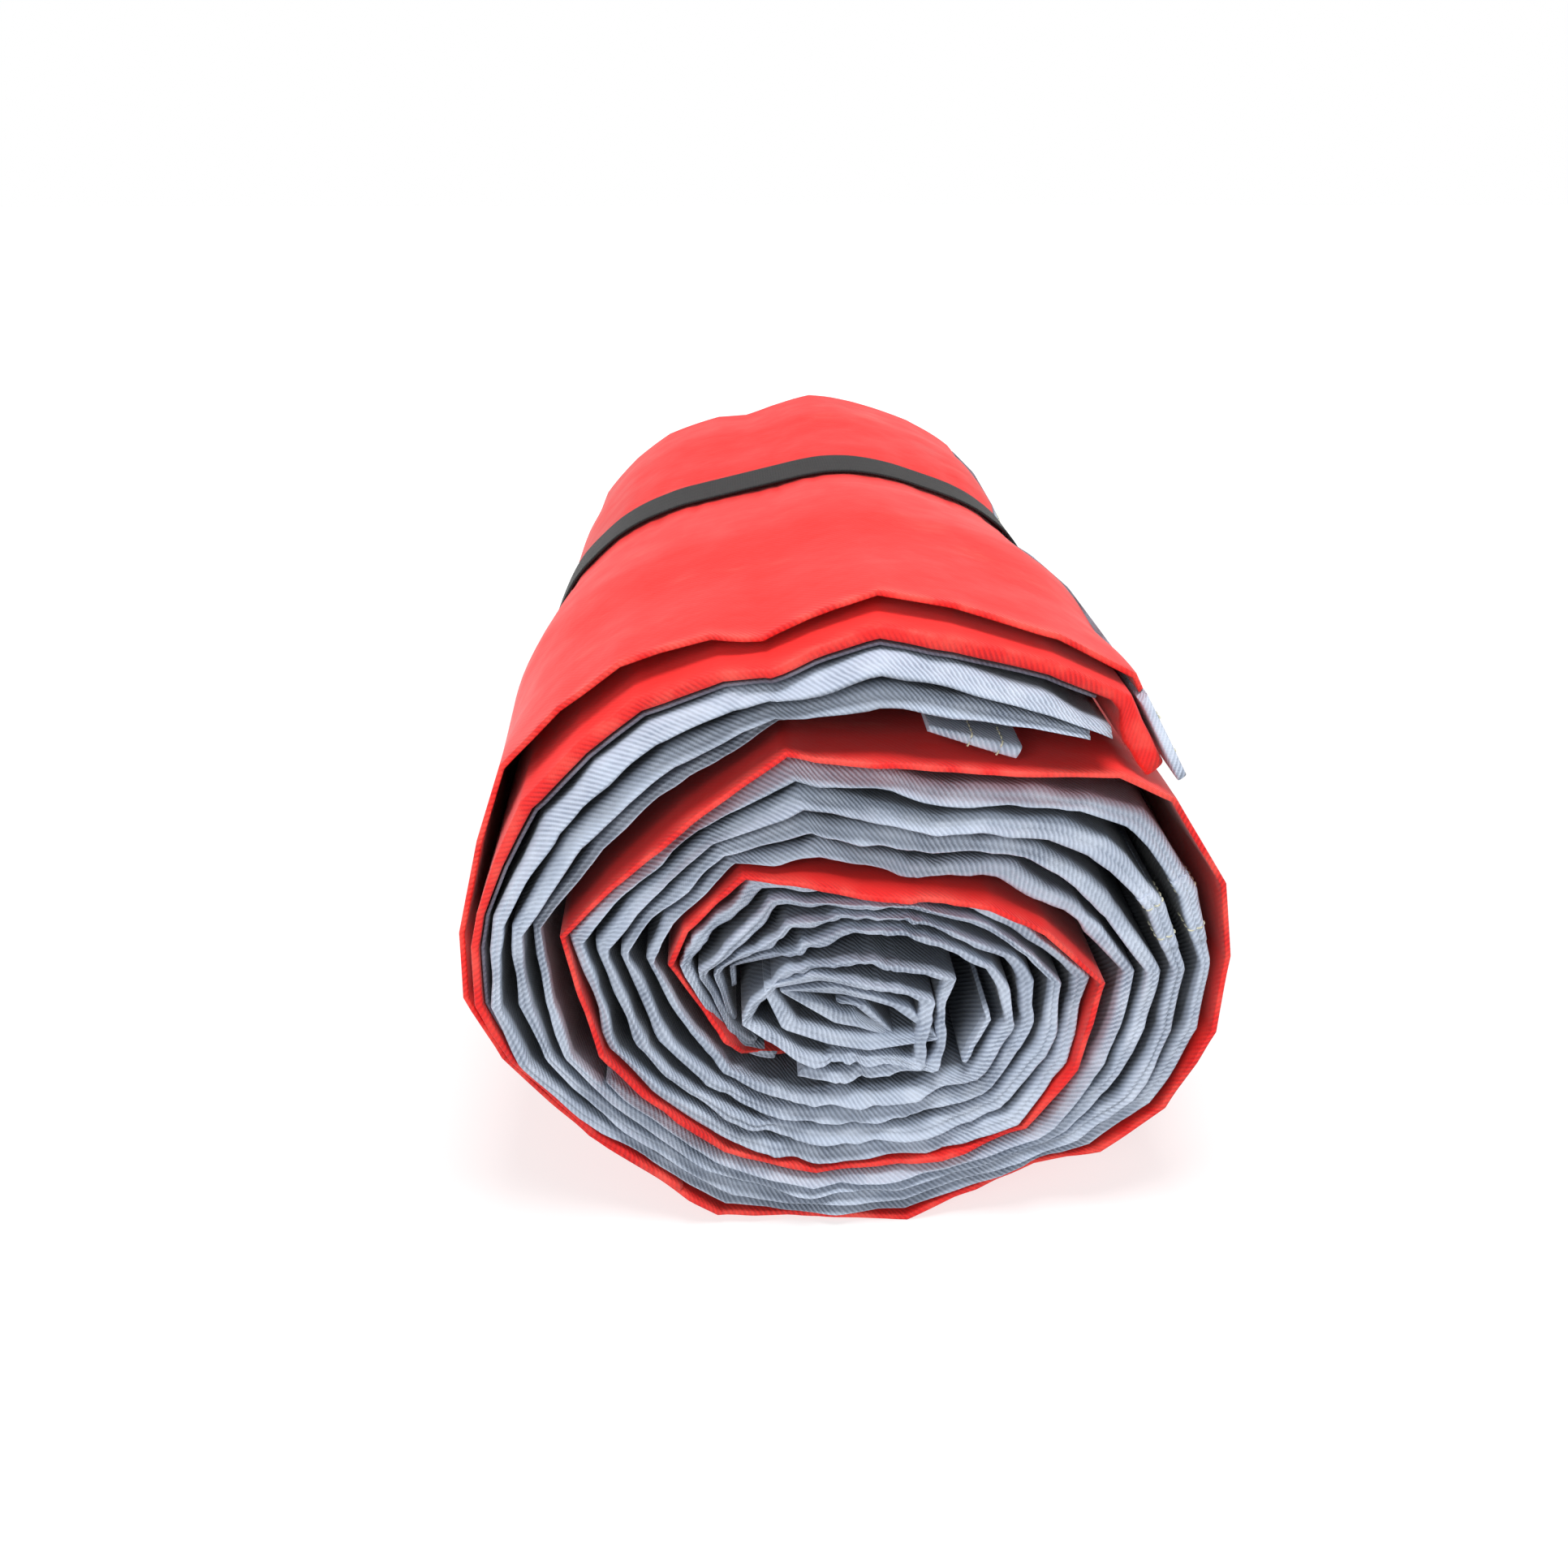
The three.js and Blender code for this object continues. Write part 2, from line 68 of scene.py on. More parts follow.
class Body(Enum):
    """The moving bodies of the frame."""

    BUNDLE = "bundle"
    FRONT_EAR = "front_dog_ear"
    REAR_EAR = "rear_dog_ear"
    RING = "ring_link"
    TAIL = "tail_end"


class Slot(Enum):
    """Material slot names."""

    RED = "red_cloth"
    GREY = "grey_cloth"
    THREAD = "thread"
    WEBBING = "webbing"
    HOOK = "hook_and_loop"
    RING = "ring"


# ---------------------------------------------------------------- the rolled section
@dataclass(frozen=True)
class RolledSection:
    """The creased spiral that the cloth winds along, and how it changes along the roll.

    Creases are (bearing in degrees, millimetres from the centre). A bearing keeps growing from one turn to the
    next, all the way in to the core. Stations are (y, scale to the right, scale to the left, scale upwards,
    lift, slant), with lengths in millimetres.
    """

    centre: tuple[float, float] = (7.15 * MM, 115 * MM)
    height: float = 308 * MM
    half_length: float = 320 * MM
    creases: Knots = (
        (36, 187), (50, 201), (62, 196), (77, 192), (88, 194), (98, 186), (105, 182), (112, 190), (125, 199),
        (135, 202), (146, 206), (156, 200), (169, 197), (178, 193), (188, 178), (206, 151), (236.5, 132),
        (281.3, 117.3), (302, 116), (315, 123), (326, 145), (339, 163), (354, 176), (367, 180), (379, 183),
        (395, 178), (404, 166), (420, 138), (444, 125), (461, 130), (466, 136), (490, 129), (511, 137),
        (524, 150), (534, 139), (549, 130), (561, 116), (587, 101), (615, 90), (629, 85), (656, 90), (681, 105),
        (703, 110), (726, 117), (744, 96), (762, 80), (779, 69), (812, 63), (833, 73), (850, 90), (874, 96),
        (886, 97), (907, 74), (927, 67), (950, 52), (988, 40), (1045, 56), (1072, 61), (1097, 56), (1145, 34),
        (1190, 30), (1249, 60), (1274, 63), (1310, 52),
    )
    stations: tuple[tuple[float, ...], ...] = (
        (-320, 1, 1, 1, 0, 54), (-235, 1.01, 1.01, 1, 0, 54), (-110, 1.005, 1.02, 1.01, 0, 12),
        (-18, 0.97, 1.01, 1, 0, 0), (16, 0.93, 0.985, 0.98, 4, 0), (80, 0.93, 0.98, 0.98, 4, 0),
        (114, 0.96, 0.975, 1.0, 1, 0), (215, 0.97, 0.965, 1.02, 0, -8), (320, 0.95, 0.945, 1.015, 0, -16),
    )

    def crease_radius(self, bearing: np.ndarray) -> np.ndarray:
        """Distance from the centre to the outermost cloth, straight between creases.

        Args:
            bearing: Bearings in degrees.

        Returns:
            Radii in metres, one for each bearing.
        """
        at, radius = np.array(self.creases, float).T
        held = np.clip(np.asarray(bearing, float), at[0], at[-1])
        low = np.clip(np.searchsorted(at, held, side="right") - 1, 0, len(at) - 2)
        before, after = np.radians(held - at[low]), np.radians(at[low + 1] - held)
        first, second = radius[low], radius[low + 1]
        return MM * first * second * np.sin(before + after) / (first * np.sin(before) + second * np.sin(after))

    def ply_radius(self, bearing: np.ndarray, share: np.ndarray | float) -> np.ndarray:
        """Radius at a share of the way in from one turn of the outermost cloth to the next."""
        return self.crease_radius(bearing) * (1 - share) + self.crease_radius(np.add(bearing, 360)) * share

    def corners(self, start: float, stop: float, step: float) -> np.ndarray:
        """Bearings from start to stop, evenly spaced and with one on every crease.

        Args:
            start: First bearing in degrees.
            stop: Last bearing in degrees.
            step: Largest spacing in degrees.

        Returns:
            Rising bearings in degrees.
        """
        creases = {c for c, _ in self.creases} | {c - 360 for c, _ in self.creases}
        fixed = [start] + sorted(c for c in creases if start + 1 < c < stop - 1) + [stop]
        found: list[float] = []
        for low, high in zip(fixed, fixed[1:]):
            count = max(1, math.ceil((high - low) / step))
            found.extend(low + (high - low) * i / count for i in range(count))
        found.append(stop)
        return np.array(found)

    def place(self, bearing: np.ndarray, radius: np.ndarray, y: np.ndarray) -> np.ndarray:
        """Points of the roll in the row frame.

        Args:
            bearing: Bearings in degrees.
            radius: Distances from the centre in the front section, in metres.
            y: Distances along the roll before it is slanted, in metres.

        Returns:
            An array with a last axis of x, y and z.
        """
        angle = np.radians(bearing)
        x = radius * np.cos(angle)
        z = np.maximum(self.centre[1] + radius * np.sin(angle), 0)
        at, right, left, tall, lift, slant = np.array(self.stations, float).T
        here = y / MM
        side = ease(0.5 + x / (120 * MM))
        size = np.interp(here, at, right) * side + np.interp(here, at, left) * (1 - side)
        height = np.interp(here, at, tall)
        raised = np.interp(here, at, lift) * MM
        lean = np.interp(here, at, slant) * MM * z / self.height
        return np.stack([self.centre[0] + x * size, y + lean, raised + z * height], axis=-1)


SECTION = RolledSection()


def along_knots(knots: Knots, bearing: np.ndarray) -> np.ndarray:
    """Values between listed (bearing, value) knots, straight from one to the next."""
    at, value = np.array(knots, float).T
    return np.interp(bearing, at, value)


def kinks(seed: int, bearing: np.ndarray, spacing: float) -> np.ndarray:
    """Seeded uneven kinks from -1 to 1, straight between corners about spacing degrees apart.

    Args:
        seed: Which set of kinks.
        bearing: Bearings in degrees.
        spacing: Average distance between corners in degrees.

    Returns:
        One value for each bearing.
    """
    draw = np.random.default_rng(seed)
    at = np.cumsum(draw.uniform(0.5, 1.5, int(1500 / spacing))) * spacing
    return np.interp(bearing, at, draw.uniform(-1, 1, at.size))


def ease(x: np.ndarray) -> np.ndarray:
    """A smooth step from 0 to 1 as x goes from 0 to 1."""
    held = np.clip(x, 0, 1)
    return held * held * (3 - 2 * held)


# ---------------------------------------------------------------- meshes
TUBE_HELPER = (0.31, 0.27, 0.91)
TUBE_END = 0.45
THREAD = 0.9 * MM
THREAD_SIDES = 6
STITCH = 4.2 * MM
STITCH_GAP = 1.3 * MM
STITCH_POINTS = 5
MOSTLY_AWAY_FROM_AXIS = (1.0, 0.1, 1.0)


def travelled(path: np.ndarray) -> np.ndarray:
    """Distance along a path to each of its points; a stack of paths gives a stack of distances."""
    steps = np.linalg.norm(np.diff(path, axis=-2), axis=-1)
    return np.concatenate([np.zeros_like(steps[..., :1]), np.cumsum(steps, axis=-1)], axis=-1)


def resampled(path: np.ndarray, travel: np.ndarray, at: np.ndarray) -> np.ndarray:
    """Points of a path at the given distances along it."""
    return np.stack([np.interp(at, travel, column) for column in path.T], axis=1)


def unit(vectors: np.ndarray) -> np.ndarray:
    """The same directions, one unit long."""
    return vectors / (np.linalg.norm(vectors, axis=-1, keepdims=True) + TINY)


def new_piece(name: str, points: np.ndarray, faces: list[tuple[int, ...]]) -> bpy.types.Object:
    """A smooth-shaded object made from points and faces, with its faces turned outwards.

    Args:
        name: The piece's name.
        points: Vertices, one row each.
        faces: Vertex numbers of each face.

    Returns:
        The linked object.
    """
    points = points.reshape(-1, 3)
    mesh = bpy.data.meshes.new(name)
    mesh.from_pydata(points.tolist(), [], faces)
    mesh.update()
    mesh.calc_loop_triangles()
    corners = np.empty(3 * len(mesh.loop_triangles), dtype=np.int32)
    mesh.loop_triangles.foreach_get("vertices", corners)
    a, b, c = points[corners].reshape(-1, 3, 3).transpose(1, 0, 2)
    if np.sum(a * np.cross(b, c)) < 0:
        mesh.flip_normals()
    mesh.polygons.foreach_set("use_smooth", [True] * len(mesh.polygons))
    piece = bpy.data.objects.new(name, mesh)
    bpy.context.scene.collection.objects.link(piece)
    return piece


def swept_faces(rings: int, count: int) -> list[tuple[int, ...]]:
    """Faces of a skin through equal rings of vertices, with a cap at each end.

    Args:
        rings: How many rings there are.
        count: Vertices in each ring.

    Returns:
        Vertex numbers of each face, with the two caps last.
    """
    faces: list[tuple[int, ...]] = []
    for i in range(rings - 1):
        for j in range(count):
            k = (j + 1) % count
            faces.append((i * count + j, i * count + k, (i + 1) * count + k, (i + 1) * count + j))
    faces.append(tuple(range(count))[::-1])
    faces.append(tuple(range((rings - 1) * count, rings * count)))
    return faces


def set_attribute(piece: bpy.types.Object, name: str, values: np.ndarray) -> None:
    """Stores one number or one vector for each vertex of a piece."""
    kind = "FLOAT" if values.ndim == 1 else "FLOAT_VECTOR"
    layer = piece.data.attributes.new(name, kind, "POINT")
    layer.data.foreach_set("value" if kind == "FLOAT" else "vector", values.astype(np.float32).ravel())


def tube_parts(path: np.ndarray, radius: float, sides: int, base: int) -> tuple[list, list]:
    """Rings and faces of a closed round tube along a path, thinner at its two ends.

    Args:
        path: Points, one row each.
        radius: The tube's radius in metres.
        sides: Corners round it.
        base: Number of the first vertex.

    Returns:
        The vertices and the faces.
    """
    tangent = unit(np.gradient(path, axis=0))
    across = unit(np.cross(tangent, TUBE_HELPER))
    up = np.cross(tangent, across)
    turn = 2 * np.pi * np.arange(sides) / sides
    thin = np.ones(len(path))
    thin[[0, -1]] = TUBE_END
    ring = np.cos(turn)[None, :, None] * across[:, None] + np.sin(turn)[None, :, None] * up[:, None]
    points = path[:, None] + ring * (radius * thin)[:, None, None]
    faces = []
    for i in range(len(path) - 1):
        for j in range(sides):
            k = (j + 1) % sides
            a, b = base + i * sides, base + (i + 1) * sides
            faces.append((a + j, b + j, b + k, a + k))
    faces.append(tuple(base + j for j in range(sides)))
    faces.append(tuple(base + (len(path) - 1) * sides + j for j in reversed(range(sides))))
    return points.reshape(-1, 3).tolist(), faces


def stitches(name: str, path: np.ndarray, lift: float) -> bpy.types.Object:
    """A row of lockstitch: short humped lengths of thread along a path.

    Args:
        name: The piece's name.
        path: Points on the cloth, already held off it.
        lift: How far the middle of each stitch stands up, in metres.

    Returns:
        The row as one object.
    """
    travel = travelled(path)
    points: list = []
    faces: list = []
    hub = path.mean(axis=0)
    shares = np.linspace(0, 1, STITCH_POINTS)
    start = STITCH_GAP
    while start + STITCH < travel[-1]:
        line = resampled(path, travel, start + STITCH * shares)
        outward = unit((line - hub) * MOSTLY_AWAY_FROM_AXIS)
        line += outward * (lift * np.sin(np.pi * shares))[:, None]
        more, extra = tube_parts(line, THREAD / 2, THREAD_SIDES, len(points))
        points.extend(more)
        faces.extend(extra)
        start += STITCH + STITCH_GAP
    return new_piece(name, np.array(points), faces)


# ---------------------------------------------------------------- finishes
# Noise scales, in cells for each metre, from the broadest marks to the finest.
TONE_SCALE = 5.0
SWAY_SCALE = 9.0
PATCH_SCALE = 26.0
CRUMPLE_SCALE = 38.0
MATTE_SCALE = 40.0
WEAR_SCALE = 60.0
GRAIN_SCALE = 420.0
SCRAPE_TURN = (0.0, 0.0, 0.5)
SCRAPE_SCALE = (14.0, 30.0, 14.0)


class Bench:
    """A material's node tree, with short calls for the nodes that the finishes share."""

    def __init__(self, name: str) -> None:
        """Starts a material with an empty shader."""
        self.material = bpy.data.materials.new(name)
        self.material.use_nodes = True
        self.tree = self.material.node_tree
        self.shader = self.tree.nodes["Principled BSDF"]

    def node(self, kind: str, inputs: dict | None = None, **settings: object) -> bpy.types.Node:
        """Adds a node.

        Args:
            kind: The node's type.
            inputs: Socket name or number to a value, or to an output socket to link.
            settings: Properties of the node.

        Returns:
            The node.
        """
        made = self.tree.nodes.new(kind)
        for key, value in settings.items():
            setattr(made, key, value)
        for key, value in (inputs or {}).items():
            self.feed(made.inputs[key], value)
        return made

    def feed(self, socket: bpy.types.NodeSocket, value: object) -> None:
        """Links an output to a socket, or sets the socket's own value."""
        if isinstance(value, bpy.types.NodeSocket):
            self.tree.links.new(value, socket)
        else:
            socket.default_value = value

    def maths(self, operation: str, *values: object) -> Socket:
        """The result of a Math node."""
        return self.node("ShaderNodeMath", dict(enumerate(values)), operation=operation).outputs[0]

    def ramp(self, value: object, low: float, high: float, to_low: float, to_high: float) -> Socket:
        """A value carried smoothly from one range into another."""
        limits = {"Value": value, "From Min": low, "From Max": high, "To Min": to_low, "To Max": to_high}
        return self.node("ShaderNodeMapRange", limits, interpolation_type="SMOOTHSTEP").outputs[0]

    def mix(self, share: object, first: object, second: object) -> Socket:
        """A mix of two colours; numbers 6, 7 and 2 are the colour sockets of a Mix node."""
        return self.node("ShaderNodeMix", {0: share, 6: first, 7: second}, data_type="RGBA").outputs[2]

    def attribute(self, name: str) -> bpy.types.Node:
        """A value stored on the piece's vertices."""
        return self.node("ShaderNodeAttribute", attribute_name=name)

    def noise(self, vector: object, scale: float, detail: float = 3.0, rough: float = 0.5) -> Socket:
        """Soft noise, from about 0.2 to 0.8, with scale in cells for each metre."""
        inputs = {"Vector": vector, "Scale": scale, "Detail": detail, "Roughness": rough}
        return self.node("ShaderNodeTexNoise", inputs).outputs["Fac"]

    def ridges(self, distance: object, pitch: float) -> Socket:
        """Waves from 0 to 1 along a distance."""
        phase = self.maths("MULTIPLY", distance, 2 * math.pi / pitch)
        return self.maths("MULTIPLY_ADD", self.maths("SINE", phase), 0.5, 0.5)

    def bump(self, height: object, strength: float, distance: float, under: object = None) -> Socket:
        """A normal raised by a height, on top of another normal where there is one."""
        lower = {} if under is None else {"Normal": under}
        inputs = {"Height": height, "Strength": strength, "Distance": distance, **lower}
        return self.node("ShaderNodeBump", inputs).outputs[0]

    def coat(self, colour: object, roughness: object, normal: object) -> bpy.types.Material:
        """Gives the shader its colour, roughness and normal, which finishes the material."""
        for name, value in (("Base Color", colour), ("Roughness", roughness), ("Normal", normal)):
            self.feed(self.shader.inputs[name], value)
        return self.material

    def where(self) -> Socket:
        """Places on the object, in metres."""
        return self.node("ShaderNodeTexCoord").outputs["Object"]


def linear(colour: Colour) -> tuple[float, float, float, float]:
    """A screen colour with parts from 0 to 255, as the linear colour that a shader takes."""
    parts = [c / 255 for c in colour]
    return (*[p / 12.92 if p <= 0.04045 else ((p + 0.055) / 1.055) ** 2.4 for p in parts], 1.0)


@dataclass(frozen=True)
class CoatedCloth:
    """Twill-woven glass cloth with a matte coloured coat, paler and rougher along its folds, partly from wear
    and partly as a painted highlight.

    Colours are screen colours from 0 to 255 and lengths are metres. Ribs says how much of the twill shows away
    from the folds, scuffs how pale the scrapes are, and inner_shade how much shade is painted on the cloth
    behind its folds.
    """

    name: str
    face: Colour
    valley: Colour
    # worn: the pale colour of scuffs and worn folds; along the fold edges it also paints a highlight.
    worn: Colour
    ribs: float
    rib_relief: float
    scuffs: float
    inner_shade: float = 0.0
    pitch: float = 2.3 * MM
    twill_across: float = 0.82
    twill_along: float = 0.57
    sway: float = 6 * MM
    valley_depth: float = 0.75
    tone_drift: float = 0.09
    yarn_height: float = 0.25
    grain: float = 0.25 * MM
    crumple: float = 2.2 * MM
    roughness: float = 0.62
    sheen: float = 0.12

    def twill(self, made: Bench, where: object) -> tuple[Socket, Socket]:
        """The slanting ribs and the finer yarns that cross them.

        Args:
            made: The bench that the material is made on.
            where: Places on the object.

        Returns:
            Their heights, from 0 to 1.
        """
        split = made.node("ShaderNodeSeparateXYZ", {0: made.attribute("weave").outputs["Vector"]})
        sway = made.maths("MULTIPLY", made.noise(where, SWAY_SCALE), self.sway)
        across = made.maths("MULTIPLY_ADD", split.outputs["X"], self.twill_across, sway)
        along = made.maths("MULTIPLY", split.outputs["Y"], self.twill_along)
        rib = made.ridges(made.maths("ADD", across, along), self.pitch)
        return rib, made.ridges(made.maths("SUBTRACT", along, across), self.pitch / 2)

    def colour(self, made: Bench, where: object, dip: object) -> Socket:
        """The coat's colour, darker between ribs and with painted shade behind the folds, paler where it is
        scraped and along the folds, from wear and a painted highlight.

        Args:
            made: The bench that the material is made on.
            where: Places on the object.
            dip: How far down the weave goes at each place.

        Returns:
            The colour.
        """
        fold_wear_and_painted_light = made.attribute("fold_wear_and_painted_light").outputs["Fac"]
        base = made.mix(made.maths("MULTIPLY", dip, self.valley_depth), linear(self.face), linear(self.valley))
        tone = made.noise(where, TONE_SCALE, 5.0, 0.6)
        drift = made.ramp(tone, 0.3, 0.7, 1 - self.tone_drift, 1 + self.tone_drift)
        # Painted shade: the cloth is darkened behind its folds, away from the fold edges, by up to inner_shade.
        shade_painted_behind_folds = made.ramp(fold_wear_and_painted_light, 0.02, 0.45, self.inner_shade, 0.0)
        value = made.maths("SUBTRACT", drift, shade_painted_behind_folds)
        toned = made.node("ShaderNodeHueSaturation", {"Color": base, "Value": value}).outputs[0]
        stretched = {"Vector": where, "Rotation": SCRAPE_TURN, "Scale": SCRAPE_SCALE}
        scrape = made.node("ShaderNodeMapping", stretched)
        streaks = made.ramp(made.noise(scrape.outputs[0], 1.0, 6.0, 0.7), 0.56, 0.74, 0.0, self.scuffs)
        wear = made.ramp(made.noise(where, WEAR_SCALE, 4.0), 0.35, 0.7, 0.0, 0.5)
        # Paler where scuffs streak the coat and along the fold edges, partly wear and partly a painted
        # highlight.
        pale = made.maths("MINIMUM", made.maths("MULTIPLY_ADD", fold_wear_and_painted_light, wear, streaks), 1.0)
        return made.mix(pale, toned, linear(self.worn))

    def material(self) -> bpy.types.Material:
        """Builds the finish's material.

        Returns:
            The material.
        """
        made = Bench(self.name)
        where = made.where()
        rib, yarn = self.twill(made, where)
        cover = made.ramp(made.noise(where, PATCH_SCALE, 4.0), 0.35, 0.65, 0.55, 1.0)
        near_fold = made.maths("MAXIMUM", made.attribute("fold_wear_and_painted_light").outputs["Fac"], self.ribs)
        shown = made.maths("MULTIPLY", cover, near_fold)
        dip = made.maths("MULTIPLY", made.maths("SUBTRACT", 1.0, rib), shown)
        matte = made.noise(where, MATTE_SCALE, 4.0)
        roughness = made.ramp(matte, 0.3, 0.7, self.roughness - 0.06, self.roughness + 0.08)
        ribs_up = made.maths("MULTIPLY", made.maths("MULTIPLY_ADD", yarn, self.yarn_height, rib), shown)
        weave = made.bump(ribs_up, 1.0, self.rib_relief)
        grain = made.bump(made.noise(where, GRAIN_SCALE, 2.0), 0.25, self.grain, weave)
        crumple = made.bump(made.noise(where, CRUMPLE_SCALE, 4.0, 0.55), 0.35, self.crumple, grain)
        made.shader.inputs["Sheen Weight"].default_value = self.sheen
        made.shader.inputs["Sheen Roughness"].default_value = 0.4
        made.shader.inputs["Specular IOR Level"].default_value = 0.35
        return made.coat(self.colour(made, where, dip), roughness, crumple)


@dataclass(frozen=True)
class WebbingFinish:
    """Flat black polypropylene webbing: a fine herringbone of glossy yarns, greyed a little by wear."""

    name: str = "strap_webbing"
    yarn: Colour = (17, 16, 19)
    gap: Colour = (4, 4, 5)
    greyed: Colour = (34, 31, 31)
    pitch: float = 1.7 * MM
    relief: float = 0.35 * MM

    def material(self) -> bpy.types.Material:
        """Builds the finish's material.

        Returns:
            The material.
        """
        made = Bench(self.name)
        split = made.node("ShaderNodeSeparateXYZ", {0: made.attribute("weave").outputs["Vector"]})
        along, across = split.outputs["X"], split.outputs["Y"]
        zig = made.maths("PINGPONG", across, 3 * self.pitch)
        ridge = made.ridges(made.maths("ADD", along, zig), self.pitch)
        cords = made.maths("SINE", made.maths("MULTIPLY", across, 2 * math.pi / self.pitch))
        woven = made.maths("MULTIPLY", ridge, made.maths("MULTIPLY_ADD", cords, 0.3, 0.7))
        worn = made.ramp(made.noise(made.where(), 30.0, 4.0), 0.4, 0.75, 0.0, 0.25)
        base = made.mix(woven, linear(self.gap), linear(self.yarn))
        made.shader.inputs["Sheen Weight"].default_value = 0.04
        made.shader.inputs["Specular IOR Level"].default_value = 0.3
        colour = made.mix(worn, base, linear(self.greyed))
        return made.coat(colour, made.ramp(woven, 0.0, 1.0, 0.62, 0.4), made.bump(woven, 0.8, self.relief))


@dataclass(frozen=True)
class SpunThread:
    """Pale aramid sewing thread with a tight twist."""

    name: str = "sewing_thread"
    pale: Colour = (226, 224, 200)
    shade: Colour = (160, 158, 132)
    twists: float = 260.0
    relief: float = 0.1 * MM

    def material(self) -> bpy.types.Material:
        """Builds the finish's material.

        Returns:
            The material.
        """
        made = Bench(self.name)
        where = made.where()
        wave = {"Vector": where, "Scale": self.twists, "Distortion": 1.5}
        twist = made.node("ShaderNodeTexWave", wave, bands_direction="DIAGONAL").outputs["Fac"]
        soiled = made.maths("MULTIPLY_ADD", made.noise(where, 50.0), 0.6, made.maths("MULTIPLY", twist, 0.4))
        colour = made.mix(soiled, linear(self.pale), linear(self.shade))
        return made.coat(colour, 0.7, made.bump(twist, 0.6, self.relief))


@dataclass(frozen=True)
class HookPile:
    """Black hook-and-loop tape: a dense pile with no shine."""

    name: str = "hook_and_loop_tape"
    tip: Colour = (52, 52, 55)
    root: Colour = (9, 9, 10)
    loops: float = 900.0
    relief: float = 0.5 * MM

    def material(self) -> bpy.types.Material:
        """Builds the finish's material.

        Returns:
            The material.
        """
        made = Bench(self.name)
        cells = made.node("ShaderNodeTexVoronoi", {"Vector": made.where(), "Scale": self.loops})
        pile = made.ramp(cells.outputs["Distance"], 0.0, 0.7, 1.0, 0.0)
        made.shader.inputs["Sheen Weight"].default_value = 0.3
        colour = made.mix(pile, linear(self.root), linear(self.tip))
        return made.coat(colour, 0.95, made.bump(pile, 1.0, self.relief))


@dataclass(frozen=True)
class PlatedSteel:
    """Black-plated steel wire, with brighter scratches in patches."""

    name: str = "plated_steel"
    plate: Colour = (64, 65, 70)
    bright: Colour = (150, 150, 154)
    relief: float = 0.1 * MM

    def material(self) -> bpy.types.Material:
        """Builds the finish's material.

        Returns:
            The material.
        """
        made = Bench(self.name)
        where = made.where()
        scratches = made.ramp(made.noise(where, 120.0, 6.0, 0.7), 0.55, 0.75, 0.0, 0.7)
        roughness = made.ramp(made.noise(where, WEAR_SCALE), 0.3, 0.7, 0.28, 0.45)
        made.shader.inputs["Metallic"].default_value = 0.95
        colour = made.mix(scratches, linear(self.plate), linear(self.bright))
        return made.coat(colour, roughness, made.bump(scratches, 0.2, self.relief))


Finish = CoatedCloth | WebbingFinish | SpunThread | HookPile | PlatedSteel


RED_CLOTH = CoatedCloth(
    "red_coated_cloth", (230, 30, 26), (166, 8, 20), (244, 98, 84), ribs=0.14, rib_relief=0.3 * MM, scuffs=0.3)
# The grey plies carry painted shade behind their folds (inner_shade); the hem's grey below is the same cloth
# without it.
GREY_CLOTH = CoatedCloth(
    "grey_coated_cloth", (178, 189, 206), (92, 104, 126), (206, 215, 229), ribs=0.85, rib_relief=0.45 * MM,
    scuffs=0.12, inner_shade=0.72)
HEM_CLOTH = CoatedCloth(
    "grey_hem_cloth", (182, 192, 209), (98, 110, 132), (206, 215, 229), ribs=0.85, rib_relief=0.4 * MM,
    scuffs=0.12)
# The lining is a grey ply in the shade under the second red ply, painted in dark colours that stand for that
# shade.
SHADED_LINING_CLOTH = CoatedCloth(
    "lining_cloth_painted_shade", (96, 92, 106), (58, 54, 68), (128, 126, 138), ribs=0.5, rib_relief=0.3 * MM,
    scuffs=0.05)


class Workshop:
    """Makes each finish's material once and dresses pieces in it."""

    def __init__(self) -> None:
        """Starts with no materials made."""
        self.made: dict[str, bpy.types.Material] = {}

    def dress(self, piece: bpy.types.Object, finish: Finish, slot: Slot) -> bpy.types.Object:
        """Puts a finish on a piece.

        Args:
            piece: The piece to dress.
            finish: One of the finishes above.
            slot: Not used.

        Returns:
            The piece.
        """
        if finish.name not in self.made:
            self.made[finish.name] = finish.material()
        piece.data.materials.clear()
        piece.data.materials.append(self.made[finish.name])
        return piece


# ---------------------------------------------------------------- folded bands of cloth
FOLD_TURN = np.radians([90, 74, 58, 40, 16, 0, -16, -40, -58, -74, -90])
FOLD_FLATNESS = 1.7
GROOVE_WIDTH = 0.16
# Reach of the closeness to the front fold, which sets the fold's wear and painted highlight and, further back,
# the painted shade.
LONGEST_NOSE = 7 * MM
FOLD_WEAR_AND_LIGHT_REACH = 7 * MM
REAR_INSET = 4 * MM
REAR_WAVE = 0.4
# Kinks of depth that all plies share: seed, share of the gap, degrees between corners. Then each ply's own.
SHARED_KINKS = ((777, 0.035, 23.0), (778, 0.012, 8.0))
OWN_SPACING = 11.0
SQUEEZE_LEAST = 0.22
SQUEEZE_MORE = 0.4
SQUEEZE_SPACING = 10.0
# How far from the roll's middle plies start to fill out, and over what length.
FILL_FROM = 250 * MM
FILL_RUN = 100 * MM
# The wrap's creases are sharp at its ends and rounded off, over some degrees, between them.
CRISP_UP_TO = 310 * MM
ROUNDED_OVER = 8.0
OUTER_TURN_END = 430.0
PUCKER_AT = 45 * MM
PUCKER_WIDTH = 35 * MM
STRAP_Y = 48 * MM


